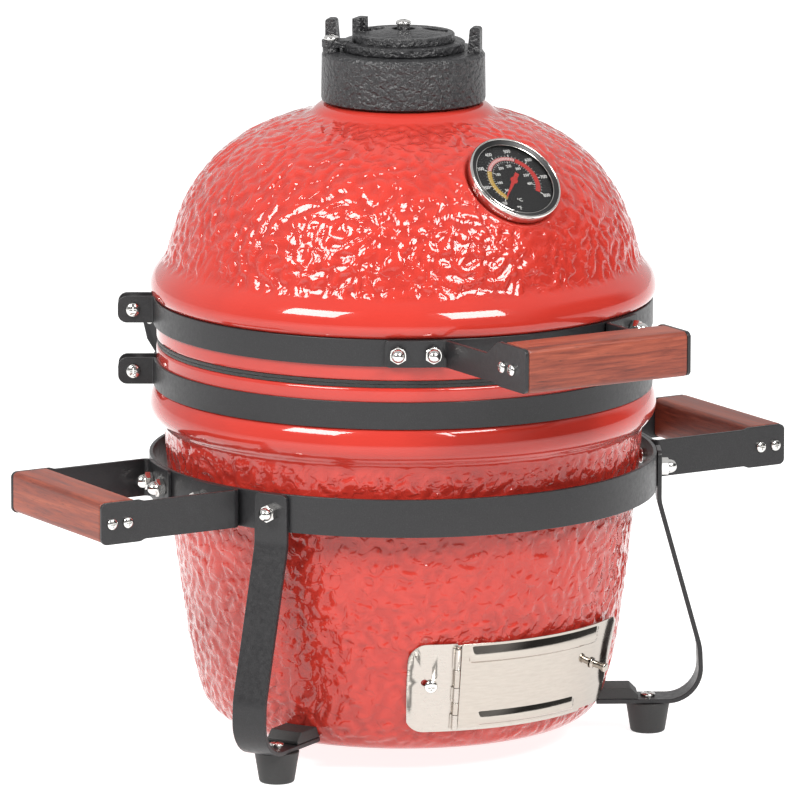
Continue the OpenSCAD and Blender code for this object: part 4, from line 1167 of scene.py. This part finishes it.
h0 = np.array([136.5 * math.sin(rad(-17)), -136.5 * math.cos(rad(-17)), 31.0])
tilt = math.atan(0.2033)
hd = np.array([math.sin(tilt) * math.sin(rad(-17)), -math.sin(tilt) * math.cos(rad(-17)), math.cos(tilt)])
for i, (k0, k1) in enumerate(((12.3, 20.7), (31.3, 43.7))):
    rod(f"draft_door_knuckle_{i + 1}", h0 + hd * k0, h0 + hd * k1, 2.0, "door", "draft_leaf")

for n_ in ("damper_base", "damper_slide", "damper_wheel"):
    finish_node(n_, "iron", width=0.7, seg=3)
for n_ in ("fire_bowl", "fire_ring"):
    finish_node(n_, "refractory", width=0.8)
finish_node("charcoal_grate", "iron", width=0.8)
finish_node("cooking_grate", "grate", width=0)
finish_node("leg_pads", "rubber", width=0.5)
finish_node("feet", "rubber", width=0.6, seg=3)
finish_node("thermometer_pointer", "red", width=0.05)

# ------------------------------------------------------------------ floor, light, camera
fm = bpy.data.meshes.new("floor")
fm.from_pydata([(-60, -60, -0.0002), (60, -60, -0.0002), (60, 60, -0.0002), (-60, 60, -0.0002)], [], [(0, 1, 2, 3)])
floor = bpy.data.objects.new("floor", fm)
bpy.context.scene.collection.objects.link(floor)
m, nt, p = new_mat("floor_pale")
v = coords(nt)
nt.links.new(ramp(nt, noise(nt, v, 3, 2), [(0.2, grey(0.49)), (0.8, grey(0.51))]), p.inputs["Base Color"])
p.inputs["Roughness"].default_value = 0.7
p.inputs["Specular IOR Level"].default_value = 0.2
p.inputs["Emission Color"].default_value = (1, 1, 1, 1)
p.inputs["Emission Strength"].default_value = 0.85
fm.materials.append(m)

# the studio is white behind the object and dim on the side of the camera
w = bpy.data.worlds.new("studio")
bpy.context.scene.world = w
w.use_nodes = True
wt = w.node_tree
bg = wt.nodes["Background"]
tc = wt.nodes.new("ShaderNodeTexCoord")
dp = wt.nodes.new("ShaderNodeVectorMath")
dp.operation = "DOT_PRODUCT"
dp.inputs[1].default_value = (0.514, 0.858, 0.0)
wt.links.new(tc.outputs["Generated"], dp.inputs[0])
mr = wt.nodes.new("ShaderNodeMapRange")
mr.interpolation_type = "SMOOTHSTEP"
for k, v_ in (("From Min", -0.92), ("From Max", 0.45), ("To Min", 0.24), ("To Max", 0.74)):
    mr.inputs[k].default_value = v_
wt.links.new(dp.outputs["Value"], mr.inputs["Value"])
# a dark flag stands to the right
dq = wt.nodes.new("ShaderNodeVectorMath")
dq.operation = "DOT_PRODUCT"
dq.inputs[1].default_value = (0.866, -0.5, -0.05)
wt.links.new(tc.outputs["Generated"], dq.inputs[0])
mq = wt.nodes.new("ShaderNodeMapRange")
mq.interpolation_type = "SMOOTHSTEP"
for k, v_ in (("From Min", 0.72), ("From Max", 0.90), ("To Min", 1.0), ("To Max", 0.10)):
    mq.inputs[k].default_value = v_
wt.links.new(dq.outputs["Value"], mq.inputs["Value"])
both = wt.nodes.new("ShaderNodeMath")
both.operation = "MULTIPLY"
wt.links.new(mr.outputs["Result"], both.inputs[0])
wt.links.new(mq.outputs["Result"], both.inputs[1])
wt.links.new(both.outputs[0], bg.inputs["Strength"])
bg.inputs["Color"].default_value = (1.0, 1.0, 1.0, 1)


def softbox(name, f, elev, dist, wid, hei, radiance, target=(0, 0, 0.27)):
    d = Vector((math.sin(rad(f)) * math.cos(rad(elev)), -math.cos(rad(f)) * math.cos(rad(elev)), math.sin(rad(elev))))
    li = bpy.data.lights.new(name, "AREA")
    li.shape = "RECTANGLE"
    li.size, li.size_y = wid, hei
    li.energy = radiance * math.pi * wid * hei
    li.color = (1.0, 0.985, 0.965)
    ob = bpy.data.objects.new(name, li)
    bpy.context.scene.collection.objects.link(ob)
    ob.location = Vector(target) + d * dist
    ob.rotation_euler = (-d).to_track_quat("-Z", "Y").to_euler()
    return ob


softbox("box_left", -75.9, 38, 2.3, 0.98, 0.88, 21.5)
softbox("box_right", 4.5, 38, 2.3, 0.96, 0.88, 21.5)

a = rad(-30.93)
el = rad(11.01)
right = Vector((math.cos(a), math.sin(a), 0))
fwd = Vector((-math.sin(a) * math.cos(el), math.cos(a) * math.cos(el), -math.sin(el)))
up = right.cross(fwd)
target = Vector((0, 0, 0.25)) + right * -0.0020 + up * -0.0270
cam_d = bpy.data.cameras.new("camera")
cam = bpy.data.objects.new("camera", cam_d)
bpy.context.scene.collection.objects.link(cam)
cam.location = target - fwd * 5.737
cam.rotation_euler = (Matrix.Rotation(rad(-0.06), 4, fwd) @ Matrix((right, up, -fwd)).transposed().to_4x4()).to_euler()
cam_d.sensor_width = 36
cam_d.lens = 395.3
cam_d.clip_end = 200
cam_d.dof.use_dof = False
bpy.context.scene.camera = cam
bpy.context.scene.view_settings.view_transform = "Standard"
bpy.context.scene.view_settings.look = "None"
